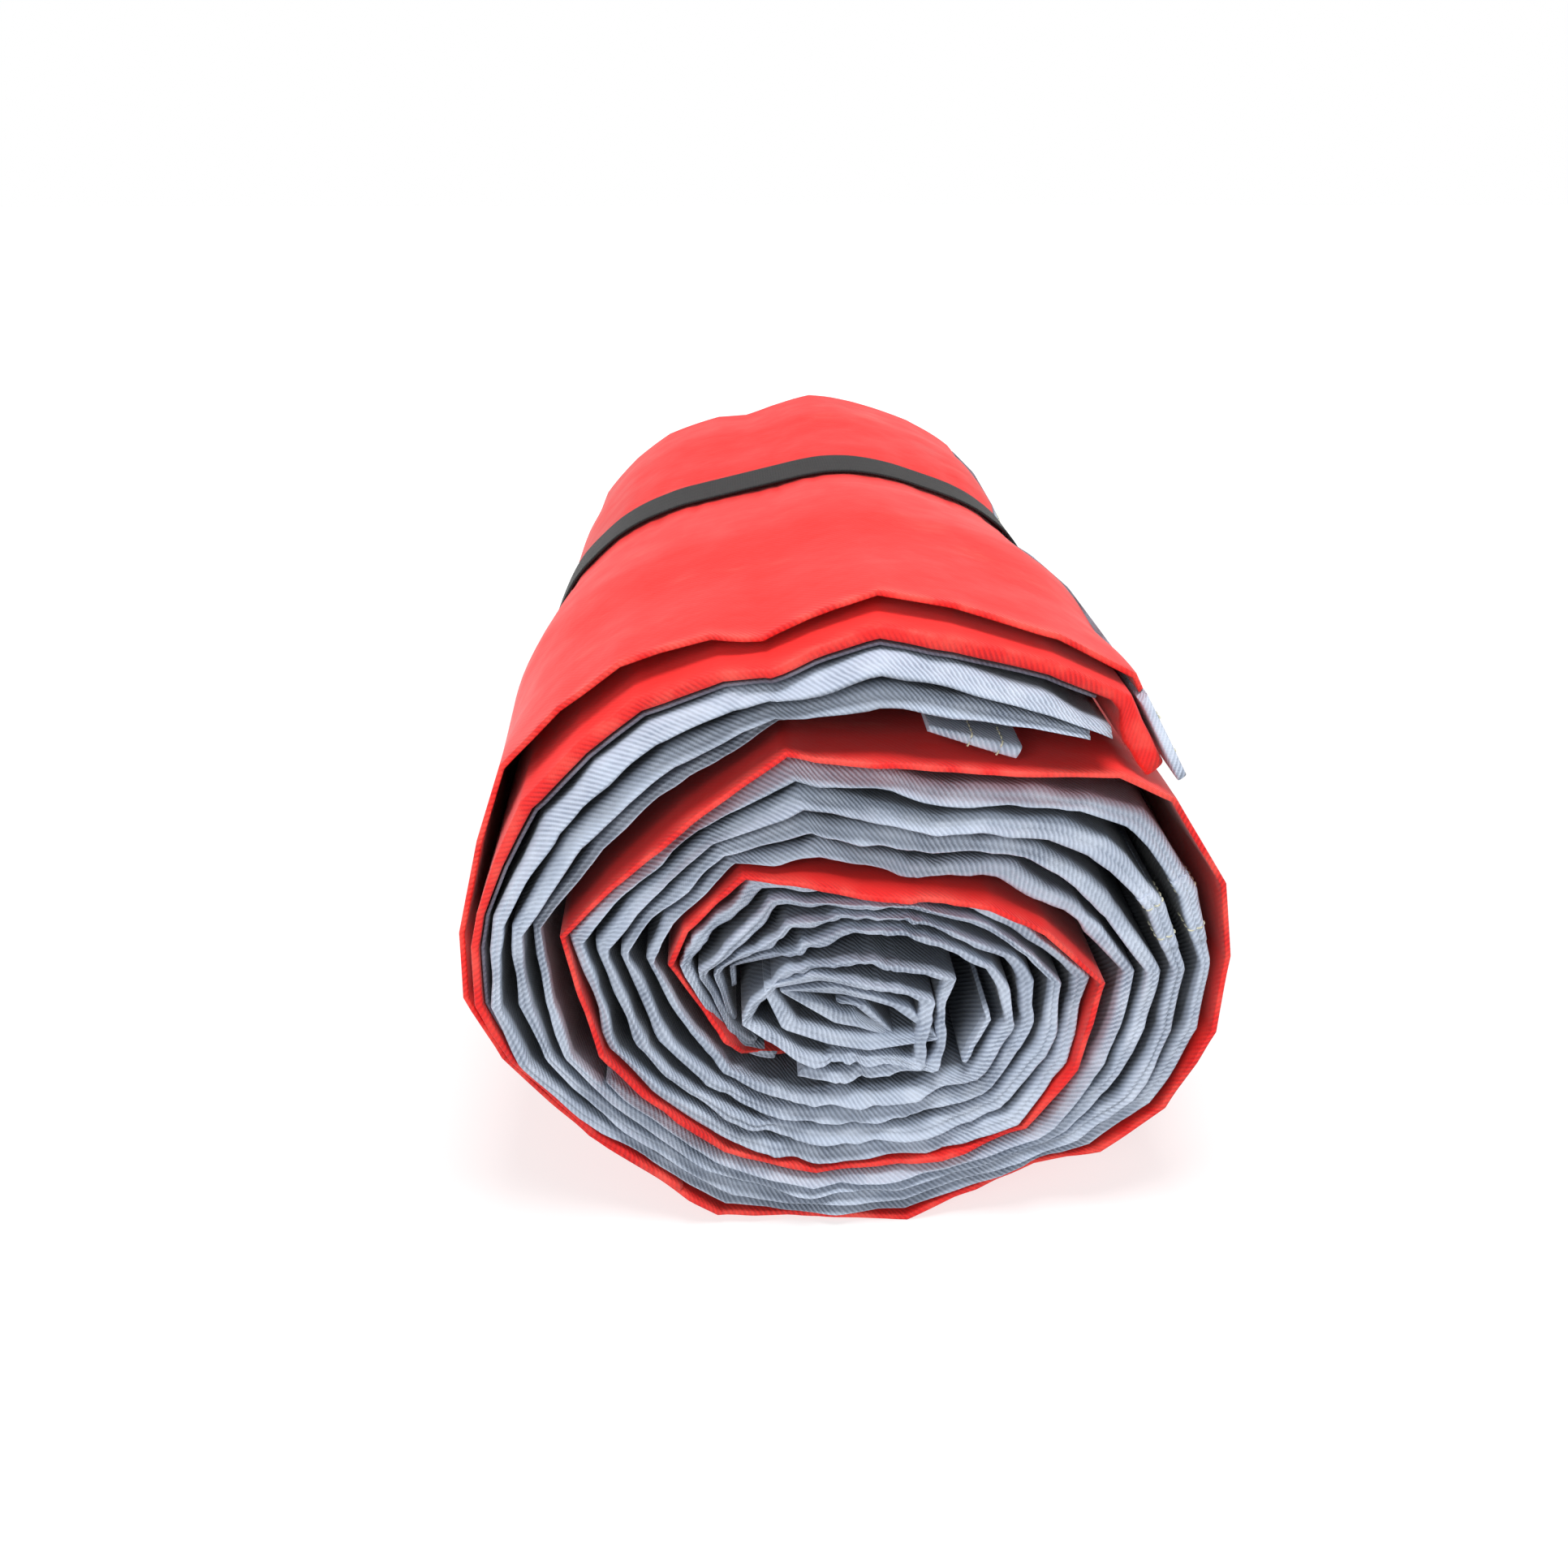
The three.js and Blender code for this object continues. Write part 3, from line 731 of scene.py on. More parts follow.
@dataclass(frozen=True)
class Band:
    """A ply of cloth folded double, wound round the roll between two depths.

    Knots are (bearing in degrees, value). Depths are shares of the gap to the next turn. Reach is how far the
    fold stands out of the roll's front end, and tilt how far its outer wall leads its inner one, both in
    millimetres.
    """

    name: str
    start: float
    stop: float
    outer: Knots
    inner: Knots
    reach: Knots = ((0, 0),)
    tilt: Knots = ((0, 0),)
    seed: int = 1
    waviness: float = 3.0
    unevenness: float = 0.0
    front_at: float | None = None
    rear_at: float | None = None
    rows: int = 12
    step: float = 2.0
    smooth_back: bool = False
    thinnest: float = 1.3 * MM
    groove: float = 0.0

    def rows_along(self) -> np.ndarray:
        """Shares of the way from the front fold to the rear one at which the walls have rows."""
        if self.rows > 20:
            return np.linspace(0, 1, self.rows)[1:-1] ** 1.15
        half = 0.5 * np.linspace(0, 1, self.rows // 2 + 1)[1:] ** 2.2
        return np.concatenate([half, (1 - half[:-1])[::-1]])

    def depths(self, bearing: np.ndarray, wander: np.ndarray) -> tuple[np.ndarray, np.ndarray]:
        """Distances from the centre to the band's outer and inner walls."""
        outer = SECTION.ply_radius(bearing, np.clip(along_knots(self.outer, bearing) + wander, 0, 1))
        inner = SECTION.ply_radius(bearing, np.clip(along_knots(self.inner, bearing) + wander, 0, 1))
        return outer, inner

    def wander(self, bearing: np.ndarray) -> np.ndarray:
        """Uneven kinks of the ply's depth, partly shared by all plies, as shares of the gap."""
        shared = sum(part * kinks(seed, bearing, spacing) for seed, part, spacing in SHARED_KINKS)
        return (self.unevenness > 0) * shared + self.unevenness * kinks(self.seed + 50, bearing, OWN_SPACING)

    def walls(self, bearing: np.ndarray) -> tuple[np.ndarray, np.ndarray]:
        """Distance from the centre to the ply's middle, and half of its thickness, squeezed here and there.

        Args:
            bearing: Bearings in degrees.

        Returns:
            The distances and the half thicknesses.
        """
        outer, inner = self.depths(bearing, self.wander(bearing))
        pressed = SQUEEZE_LEAST + SQUEEZE_MORE * np.abs(kinks(self.seed + 90, bearing, SQUEEZE_SPACING))
        squeeze = 1 - (self.unevenness > 0) * pressed
        half = np.maximum((outer - inner) / 2 * squeeze, self.thinnest)
        return np.minimum((outer + inner) / 2, outer - half), half

    def ends(self, bearing: np.ndarray) -> tuple[np.ndarray, np.ndarray]:
        """Where the front and the rear fold are along the roll, with their waves.

        Args:
            bearing: Bearings in degrees.

        Returns:
            y of the two folds.
        """
        long_wave, short_wave = kinks(self.seed, bearing, 15.0), kinks(self.seed + 7, bearing, 5.0)
        wave = MM * self.waviness * (0.7 * long_wave + 0.3 * short_wave)
        front = -SECTION.half_length - MM * along_knots(self.reach, bearing) + wave
        rear = SECTION.half_length + REAR_WAVE * wave - REAR_INSET
        if self.front_at is not None:
            front = np.full_like(bearing, self.front_at)
        if self.rear_at is not None:
            rear = np.full_like(bearing, self.rear_at)
        return front, rear

    def profile(self) -> tuple[np.ndarray, int]:
        """Goes from the rear fold's middle along the outer wall, round the front fold and back.

        Returns:
            Rows of height off the middle, share of the way back, curl and dent; and the front fold's place.
        """
        wall = self.rows_along()
        dent = self.groove * MM * np.exp(-((np.sin(FOLD_TURN) / GROOVE_WIDTH) ** 2))

        def fold(turn: np.ndarray, share: float, hollow: np.ndarray | float) -> np.ndarray:
            """A stretch round a fold."""
            return np.stack(np.broadcast_arrays(np.sin(turn), share, self.curl(turn), hollow))

        def straight(height: float, share: np.ndarray) -> np.ndarray:
            """A stretch along a wall."""
            return np.stack(np.broadcast_arrays(height, share, 1.0, 0.0))

        above, below = FOLD_TURN[FOLD_TURN >= 0][::-1], FOLD_TURN[FOLD_TURN < 0][::-1]
        parts = (fold(above, 1.0, 0.0), straight(1.0, wall[::-1]), fold(FOLD_TURN, 0.0, dent),
                 straight(-1.0, wall), fold(below, 1.0, 0.0))
        return np.concatenate(parts, axis=1), above.size + wall.size + FOLD_TURN.size // 2

    def surface(self, bearing: np.ndarray) -> tuple[np.ndarray, np.ndarray]:
        """Points of the band, going round its folded profile at each bearing.

        Args:
            bearing: Bearings in degrees.

        Returns:
            The points, as [bearing][place on the profile], and each place's distance from the front fold.
        """
        middle, half = self.walls(bearing)
        front, rear = self.ends(bearing)
        lead = MM * along_knots(self.tilt, bearing) * (self.front_at is None)
        (height, share, curl, hollow), fold = self.profile()
        length = np.clip(curl, 0, 1) * np.minimum(0.9 * half, LONGEST_NOSE)[:, None]
        at_front = front[:, None] + length + hollow - lead[:, None] * height
        at_rear = rear[:, None] - length
        y = at_front * (1 - share) + at_rear * share
        radius = middle[:, None] + half[:, None] * height
        around = np.repeat(bearing[:, None], height.size, axis=1)
        around, radius = self.bend(around, radius, y)
        points = SECTION.place(around, radius, y)
        travel = travelled(points)
        return points, travel - travel[:, fold][:, None]

    @staticmethod
    def curl(turn: np.ndarray) -> np.ndarray:
        """How far back a fold has curled at an angle: nearly flat across its face, with tight corners."""
        return (1 - np.cos(turn)) ** FOLD_FLATNESS

    def bend(self, around: np.ndarray, radius: np.ndarray, y: np.ndarray) -> tuple[np.ndarray, np.ndarray]:
        """Gives the bearings and radii their last shape.

        The wrap is rounded off. The grey plies fill out behind their folds, so that they close on each other
        and nothing shows through the roll.

        Args:
            around: Bearings in degrees.
            radius: Distances from the centre.
            y: Distances along the roll.

        Returns:
            The new bearings and distances from the centre.
        """
        if self.smooth_back:
            return around, self.relieve(around, radius, y)
        if self.unevenness == 0:
            return around, radius
        middle = (radius.max(axis=1, keepdims=True) + radius.min(axis=1, keepdims=True)) / 2
        filled = 1 + ease((FILL_FROM - np.abs(y)) / FILL_RUN)
        return around, middle + (radius - middle) * filled

    @staticmethod
    def ripple(around: np.ndarray, y: np.ndarray, turns: float, lengths: float) -> np.ndarray:
        """Soft noise over the wrap.

        Args:
            around: Bearings in degrees.
            y: Distances along the roll.
            turns: How fine it is across the roll.
            lengths: How fine it is along the roll, in cells for each metre.

        Returns:
            A value for each place, from about -1 to 1.
        """
        angle = np.radians(around)
        across = zip((turns * np.cos(angle)).ravel(), (turns * np.sin(angle)).ravel(), (lengths * y).ravel())
        return np.array([noise.noise(Vector(at)) for at in across]).reshape(y.shape)

    def relieve(self, around: np.ndarray, radius: np.ndarray, y: np.ndarray) -> np.ndarray:
        """Rounds the creases off behind the front edge and gives the cloth its soft ripples and puckers.

        Args:
            around: Bearings in degrees.
            radius: Distances from the centre.
            y: Distances along the roll.

        Returns:
            The new distances from the centre.
        """
        offsets = np.arange(-16, 17, 2.0)
        weights = np.exp(-((offsets / ROUNDED_OVER) ** 2))
        weights /= weights.sum()
        bearing = around[:, 0]
        taut = sum(w * SECTION.crease_radius(bearing + o) for w, o in zip(weights, offsets))
        change = (taut - SECTION.crease_radius(bearing))[:, None]
        behind_edge = ease((y + CRISP_UP_TO) / 0.10) * (0.45 + 0.55 * ease((CRISP_UP_TO - y) / 0.08))
        outermost = ease((OUTER_TURN_END - around) / 20)
        above_floor = ease((np.cos(np.radians(around - 90)) + 0.80) / 0.5)
        beside_strap = np.exp(-(((np.abs(y - STRAP_Y) - PUCKER_AT) / PUCKER_WIDTH) ** 2))
        ripple = 3.2 * self.ripple(around, y, 1.76, 7.7) + 0.9 * self.ripple(around, y, 9.0, 9.0)
        ripple += 1.6 * beside_strap * self.ripple(around, y, 22.0, 3.0)
        return radius + (change + MM * ripple) * behind_edge * outermost * above_floor

    def build(self) -> bpy.types.Object:
        """Makes the band's mesh, with its weave and its closeness to the front fold stored on it; that
        closeness sets the fold's wear, painted highlight and painted shade.

        Returns:
            The piece.
        """
        bearing = SECTION.corners(self.start, self.stop, self.step)
        points, travel = self.surface(bearing)
        rings, count = points.shape[:2]
        piece = new_piece(self.name, points, swept_faces(rings, count))
        for cap in piece.data.polygons[-2:]:
            cap.use_smooth = False
        if self.smooth_back:
            self.match_shading(piece, bearing)
        wound = travelled(points[:, count // 2])
        weave = np.stack([np.repeat(wound[:, None], count, 1), travel, np.zeros_like(travel)], axis=-1)
        set_attribute(piece, "weave", weave.reshape(-1, 3))
        # Closeness to the front fold: near it the cloth is worn and painted paler as a highlight, far from it
        # painted shade darkens it.
        set_attribute(piece, "fold_wear_and_painted_light", np.exp(-((travel / FOLD_WEAR_AND_LIGHT_REACH) ** 2)).ravel())
        piece["wound_length"] = float(wound[-1])
        return piece

    def match_shading(self, piece: bpy.types.Object, bearing: np.ndarray) -> None:
        """Shades the piece as one surface with the lengths of the wrap that it meets at either end.

        Args:
            piece: The band's piece.
            bearing: The bearings that it was made at.
        """
        wider = np.concatenate([[bearing[0] - 1.5], bearing, [bearing[-1] + 1.5]])
        points = self.surface(wider)[0]
        along = points[2:] - points[:-2]
        across = np.roll(points, -1, axis=1)[1:-1] - np.roll(points, 1, axis=1)[1:-1]
        normal = unit(np.cross(along, across).reshape(-1, 3))
        own = np.array([v.normal for v in piece.data.vertices])
        if (normal * own).sum() < 0:
            normal = -normal
        piece.data.normals_split_custom_set_from_vertices(normal.tolist())

    def across_fold(self, bearing: float, back: float, lift: float) -> np.ndarray:
        """A path over the front fold at one bearing, from the outer wall to the inner one.

        Args:
            bearing: The bearing in degrees.
            back: How far along each wall it runs.
            lift: How far it is held off the cloth.

        Returns:
            Points, one row each.
        """
        points, travel = self.surface(np.array([bearing, bearing + 0.5]))
        near = np.abs(travel[0]) < 4 * back
        line = resampled(points[0][near], travel[0][near], np.linspace(-back, back, 60))
        side = points[1].mean(axis=0) - points[0].mean(axis=0)
        out = unit(np.cross(np.gradient(line, axis=0), side))
        faces_front = out[len(out) // 2][1] < 0
        return line + lift * (out if faces_front else -out)


@dataclass(frozen=True)
class CoreBand(Band):
    """The cloth's first turns, pressed flat: creased loops, each lying inside the one before."""

    centre: tuple[float, float] = (3 * MM, 110 * MM)
    half_width: float = 65 * MM
    half_height: float = 35 * MM
    pitch: float = 8.2 * MM
    thickness: float = 6.6 * MM
    first_lean: float = -2.0
    lean_per_turn: float = -7.0
    crease_gap: float = 41.0

    def depths(self, bearing: np.ndarray, wander: np.ndarray) -> tuple[np.ndarray, np.ndarray]:
        """How much smaller the loops are than the outermost one, counted down from its half width."""
        inset = self.pitch * (bearing - self.start) / 360 + 0.05 * wander
        return self.half_width - inset, self.half_width - inset - self.thickness

    def loop_point(self, bearing: np.ndarray, reach: np.ndarray) -> tuple[np.ndarray, np.ndarray]:
        """A point of a rounded flat loop that leans over more from one turn to the next.

        Args:
            bearing: Bearings in degrees.
            reach: The loop's half width.

        Returns:
            x and z from the core's centre.
        """
        inset = self.half_width - reach
        high = np.maximum(self.half_height - inset, 0.9 * MM)
        angle = np.radians(bearing)
        c, s = np.cos(angle), np.sin(angle)
        power = 2.5
        size = (np.abs(c / reach) ** power + np.abs(s / high) ** power) ** (-1 / power)
        lean = np.radians(self.first_lean + self.lean_per_turn * (bearing - self.start) / 360)
        x, z = size * c, size * s
        return x * np.cos(lean) - z * np.sin(lean), x * np.sin(lean) + z * np.cos(lean)

    def bend(self, around: np.ndarray, radius: np.ndarray, y: np.ndarray) -> tuple[np.ndarray, np.ndarray]:
        """Carries the loops to their place, straight from one crease to the next."""
        draw = np.random.default_rng(self.seed + 5)
        corners = self.start - 60 + np.cumsum(self.crease_gap * draw.uniform(0.6, 1.4, 60))
        low = np.clip(np.searchsorted(corners, around, side="right") - 1, 0, corners.size - 2)
        before, after = corners[low], corners[low + 1]
        share = (around - before) / (after - before)
        shrink = self.pitch / 360
        x0, z0 = self.loop_point(before, radius + shrink * (around - before))
        x1, z1 = self.loop_point(after, radius - shrink * (after - around))
        x = self.centre[0] + x0 * (1 - share) + x1 * share - SECTION.centre[0]
        z = self.centre[1] + z0 * (1 - share) + z1 * share - SECTION.centre[1]
        return np.degrees(np.arctan2(z, x)), np.hypot(x, z)


NO_DEPTH: Knots = ((0, 0),)
WRAP_REACH: Knots = (
    (36, -8), (48, -12), (75, -14), (94, -14), (107, -4), (120, -12), (150, -8), (180, -2), (215, 0), (270, 3),
    (330, 2), (390, 6), (420, 15), (460, 17), (490, 15), (520, 7), (640, 3), (750, 9), (790, 17), (835, 14),
    (870, 5), (915, 0), (950, -26),
)
FREE_END = 48.0
FLAP_CREASE = 88.0
LAP_SHARE = 0.012
LAP_AHEAD = 0.9
LEAN: Knots = (
    (150, -6), (200, 2), (250, 6), (310, 5), (360, 0), (450, -7), (550, -3), (620, 5), (700, 2),
)
PLIES: tuple[tuple[Band, CoatedCloth, Slot, tuple[str, ...]], ...] = (
    (Band("second_red_ply", 40, 226,
          outer=((40, 0.34), (45, 0.24), (49, 0.16), (90, 0.15), (120, 0.2), (145, 0.2), (175, 0.12),
                 (200, 0.07), (226, 0.05)),
          inner=((40, 0.9), (47, 0.55), (51, 0.28), (90, 0.25), (120, 0.29), (145, 0.29), (175, 0.19),
                 (200, 0.13), (226, 0.09)),
          reach=((40, 4), (90, 4), (97, 6), (104, 17), (114, 14), (125, 9), (150, 9), (175, 4), (200, 2),
                 (226, 1)),
          seed=11, waviness=3.5, thinnest=1.4 * MM), RED_CLOTH, Slot.RED, ()),
    # The lining ply's dark colour is painted shade.
    (Band("lining_ply_painted_shade", 54, 190,
          outer=((54, 0.29), (90, 0.265), (120, 0.305), (145, 0.305), (175, 0.205), (190, 0.16)),
          inner=((54, 0.305), (90, 0.28), (120, 0.32), (145, 0.32), (175, 0.22), (190, 0.17)),
          reach=((54, 2), (90, 3), (97, 5), (104, 16), (114, 13), (125, 8), (150, 7), (175, 2), (190, -4)),
          seed=11, waviness=3.5, thinnest=0.8 * MM), SHADED_LINING_CLOTH, Slot.GREY, ()),
    (Band("third_ply", 50, 940,
          outer=((50, 0.46), (60, 0.36), (90, 0.31), (120, 0.345), (150, 0.335), (175, 0.25), (200, 0.17),
                 (300, 0.13), (400, 0.14), (470, 0.08), (700, 0.07), (900, 0.08)),
          inner=((50, 0.49), (60, 0.51), (90, 0.52), (120, 0.54), (150, 0.52), (175, 0.42), (200, 0.34),
                 (300, 0.30), (400, 0.32), (470, 0.29), (700, 0.26), (900, 0.3)),
          reach=((50, 12), (90, 12), (150, 14), (200, 4), (215, -2), (300, -3), (360, 2), (430, 10), (640, 1),
                 (890, 2), (940, -18)),
          tilt=((50, -5), (90, -9), *LEAN), seed=21, unevenness=0.026, groove=1.2, waviness=4.2),
     GREY_CLOTH, Slot.GREY, ("middle_panel",)),
    (Band("fourth_ply", 53, 930,
          outer=((53, 0.53), (62, 0.54), (90, 0.56), (120, 0.575), (150, 0.55), (175, 0.46), (200, 0.37),
                 (300, 0.33), (400, 0.35), (470, 0.32), (700, 0.29), (900, 0.33)),
          inner=((53, 0.57), (66, 0.68), (90, 0.73), (150, 0.72), (175, 0.63), (200, 0.55), (300, 0.51),
                 (400, 0.53), (470, 0.50), (700, 0.47), (900, 0.5)),
          reach=((53, 12), (90, 13), (150, 14), (200, 3), (215, 0), (300, -1), (360, 4), (430, 9), (640, 2),
                 (880, 3), (930, -18)),
          tilt=((53, -5), (90, -8), *LEAN), seed=22, unevenness=0.026, groove=1.6, waviness=4.2),
     GREY_CLOTH, Slot.GREY, ("inner_panel",)),
    (Band("fifth_ply", 92, 915,
          outer=((92, 0.79), (112, 0.775), (150, 0.76), (175, 0.67), (200, 0.58), (300, 0.54), (400, 0.56),
                 (470, 0.54), (700, 0.50), (900, 0.54)),
          inner=((92, 0.80), (112, 0.85), (150, 0.86), (175, 0.8), (200, 0.73), (300, 0.70), (400, 0.72),
                 (470, 0.72), (700, 0.68), (900, 0.7)),
          reach=((92, -14), (112, 3), (150, 6), (200, 2), (215, 1), (300, 2), (360, 2), (430, 6), (640, 0),
                 (870, 3), (915, -18)),
          tilt=((92, -3), (150, -3), (200, 2), (250, 5), (310, 4), (360, 0), (450, -5), (550, -2), (620, 5),
                (700, 2)),
          seed=23, unevenness=0.026, groove=1.0, waviness=4.2), GREY_CLOTH, Slot.GREY, ()),
    (Band("sixth_ply", 196, 900,
          outer=((196, 0.77), (300, 0.73), (400, 0.76), (470, 0.78), (700, 0.72), (900, 0.75)),
          inner=((196, 0.90), (300, 0.90), (400, 0.92), (470, 0.93), (700, 0.89), (900, 0.92)),
          reach=((196, 0), (300, 4), (360, 0), (430, 0), (640, 3), (860, 2), (900, -18)),
          tilt=((196, 2), (250, 4), (310, 4), (380, 0), (450, -4), (550, -2), (620, 4), (700, 1)),
          seed=24, unevenness=0.026, groove=0.6, waviness=4.2), GREY_CLOTH, Slot.GREY, ()),
)


@dataclass
class RolledCloth:
    """The blanket: the red wrap with its two free corners, the red and grey plies inside, and the core."""

    workshop: Workshop
    wrap_rows: int = 64
    crease_before: float = 10 * MM
    crease_after: float = 32 * MM
    front_crease: tuple[tuple[float, float], tuple[float, float]] = ((58 * MM, -272 * MM), (132 * MM, -70 * MM))
    rear_crease: tuple[tuple[float, float], tuple[float, float]] = ((58 * MM, 305 * MM), (132 * MM, 140 * MM))
    bands: dict[str, Band] = field(default_factory=dict)

    def wrap_band(self, name: str, start: float, stop: float, **limits: float) -> Band:
        """A length of the red outermost cloth; neighbours share its edge, so that they meet."""
        return Band(name, start, stop, NO_DEPTH, NO_DEPTH, WRAP_REACH, seed=3, smooth_back=True,
                    rows=self.wrap_rows, thinnest=1.4 * MM, waviness=3.4, **limits)

    def add(self, band: Band, finish: CoatedCloth, slot: Slot, held: str, *replaced: str) -> bpy.types.Object:
        """Builds, dresses and places one band that stays with the bundle.

        Args:
            band: The band to build.
            finish: Its finish.
            slot: Its material slot.
            held: Not used.
            replaced: The frame's nodes that it stands for.

        Returns:
            The piece.
        """
        piece = band.build()
        self.bands[band.name] = band
        self.workshop.dress(piece, finish, slot)
        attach(piece, Body.BUNDLE.value)
        if replaced:
            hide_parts(*replaced)
        return piece

    def free_corner(self, piece: bpy.types.Object) -> None:
        """Bakes a piece's placement into its mesh."""
        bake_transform(piece)

    def build_wrap(self) -> None:
        """The red outermost cloth, and its free end with the two corners that fold back."""
        wrap = self.wrap_band("outer_wrap", FLAP_CREASE, 950.0)
        self.add(wrap, RED_CLOTH, Slot.RED, "folded", "outer_panel")
        halves = (
            (Body.FRONT_EAR, "front_corner", {"rear_at": STRAP_Y - 1 * MM}),
            (Body.REAR_EAR, "rear_corner", {"front_at": STRAP_Y + 1 * MM}),
        )
        for body, node, limits in halves:
            name = node.replace("corner", "free_flap")
            flap = self.wrap_band(name, FREE_END, FLAP_CREASE, **limits)
            piece = flap.build()
            self.bands[name] = flap
            self.workshop.dress(piece, RED_CLOTH, Slot.RED)
            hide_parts(node)
            self.free_corner(piece)

    def build_hem(self) -> None:
        """The stitched grey hem along the free end, in the same two halves."""
        halves = (
            (Body.FRONT_EAR, "front", {"rear_at": STRAP_Y - 1 * MM}, ("front_corner_hem", "free_end_hem")),
            (Body.REAR_EAR, "rear", {"front_at": STRAP_Y + 1 * MM}, ("rear_corner_hem",)),
        )
        stands_for = {
            "front": (("front_hem_thread_1", "free_hem_thread_1"), ("front_hem_thread_2", "free_hem_thread_2")),
            "rear": (("rear_hem_thread_1",), ("rear_hem_thread_2",)),
        }
        for body, end, limits, nodes in halves:
            hem = Band(f"{end}_hem", 37.5, FREE_END - 0.2, ((0, 0.0),), ((37.5, 0.26), (42, 0.16), (48, 0.05)),
                       ((37, 9), (42, 4), (48, -6)), seed=31, waviness=1.5, rows=self.wrap_rows, step=1.0,
                       thinnest=2.4 * MM, **limits)
            piece = hem.build()
            self.workshop.dress(piece, HEM_CLOTH, Slot.GREY)
            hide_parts(*nodes)
            self.free_corner(piece)
            for row, bearing in enumerate((40.0, 44.7)):
                thread = stitches(f"{end}_hem_stitches_{row + 1}", self.along_hem(hem, bearing), 0.5 * MM)
                self.workshop.dress(thread, SpunThread(), Slot.THREAD)
                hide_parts(*stands_for[end][row])
                self.free_corner(thread)

    @staticmethod
    def along_hem(hem: Band, bearing: float) -> np.ndarray:
        """A path along a hem's outer wall, half a millimetre off the cloth.

        Args:
            hem: The hem.
            bearing: The path's bearing in degrees.

        Returns:
            Points, one row each.
        """
        points, travel = hem.surface(np.array([bearing, bearing + 0.4]))
        wall = (travel[0] < -2 * MM) & (travel[0] > travel[0].min() + 6 * MM)
        path = points[0][wall]
        outward = (path - (SECTION.centre[0], 0, SECTION.centre[1])) * (1, 0, 1)
        return path + 0.5 * MM * unit(outward)

    def build_plies(self) -> None:
        """The second red ply with its lining ply, painted dark for the shade it lies in, and the grey plies
        that fill the roll.
        """
        for ply, finish, slot, nodes in PLIES:
            self.add(ply, finish, slot, "folded", *nodes)

    def build_core(self) -> None:
        """The flattened middle that the roll was started on."""
        core = CoreBand("core_loops", 950, 950 + 360 * 3.9, NO_DEPTH, NO_DEPTH,
                        ((950, 2), (1300, 5), (1700, 3), (2350, -6)), ((950, 2), (2350, 2)), seed=41,
                        waviness=4.0, unevenness=0.01, groove=0.8, step=4.0)
        self.add(core, GREY_CLOTH, Slot.GREY, "folded", "core_fold")

    def fold_stitches(self, name: str, path: np.ndarray, node: str) -> None:
        """A row of stitches across a fold of the bundle."""
        thread = stitches(name, path, 0.4 * MM)
        self.workshop.dress(thread, SpunThread(), Slot.THREAD)
        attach(thread, Body.BUNDLE.value)
        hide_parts(node)

    def build_seams(self) -> None:
        """The lapped seams that join two widths of cloth, the tucked hem corner and the frayed start."""
        seams = ((self.bands["third_ply"], "outer_lap"), (self.bands["fourth_ply"], "middle_lap"))
        for band, seam in seams:
            for row, bearing in enumerate((373.0, 379.5), start=1):
                path = band.across_fold(bearing, 26 * MM, 0.5 * MM)
                self.fold_stitches(f"{seam}_stitches_{row}", path, f"{seam}_thread_{row}")
        for band, seam in seams:
            outer = tuple((b, v - LAP_SHARE) for b, v in band.outer)
            inner = tuple((b, v + LAP_SHARE) for b, v in band.inner)
            reach = tuple((b, v + LAP_AHEAD) for b, v in band.reach)
            lap = Band(f"{seam}_seam_tape", 370.5, 382.0, outer, inner, reach, band.tilt, seed=band.seed,
                       unevenness=band.unevenness, groove=band.groove, step=1.0)
            self.add(lap, GREY_CLOTH, Slot.GREY, "folded", f"{seam}_seam")
        tucked = Band("tucked_hem_corner", 61, 78, ((61, 0.82), (78, 0.78)), ((61, 0.93), (78, 0.83)),
                      ((61, 11), (78, 4)), seed=51, waviness=1.0, rear_at=-0.23, step=1.0)
        self.add(tucked, HEM_CLOTH, Slot.GREY, "folded", "tucked_corner")
        for row, bearing in enumerate((64.5, 70.0), start=1):
            path = tucked.across_fold(bearing, 22 * MM, 0.5 * MM)
            self.fold_stitches(f"tucked_corner_stitches_{row}", path, f"tucked_corner_thread_{row}")
        start = Band("frayed_start_ply", 690, 716, ((0, 0.955),), ((0, 0.99),), ((690, 8), (716, 2)), seed=61,
                     waviness=4.0, step=1.5)
        self.add(start, GREY_CLOTH, Slot.GREY, "folded", "frayed_start")

    def build(self) -> None:
        """Makes every piece of the cloth."""
        self.build_wrap()
        self.build_hem()
        self.build_plies()
        self.build_core()
        self.build_seams()


# ---------------------------------------------------------------- the cinch strap
RIBBON_STEP = 2.5 * MM


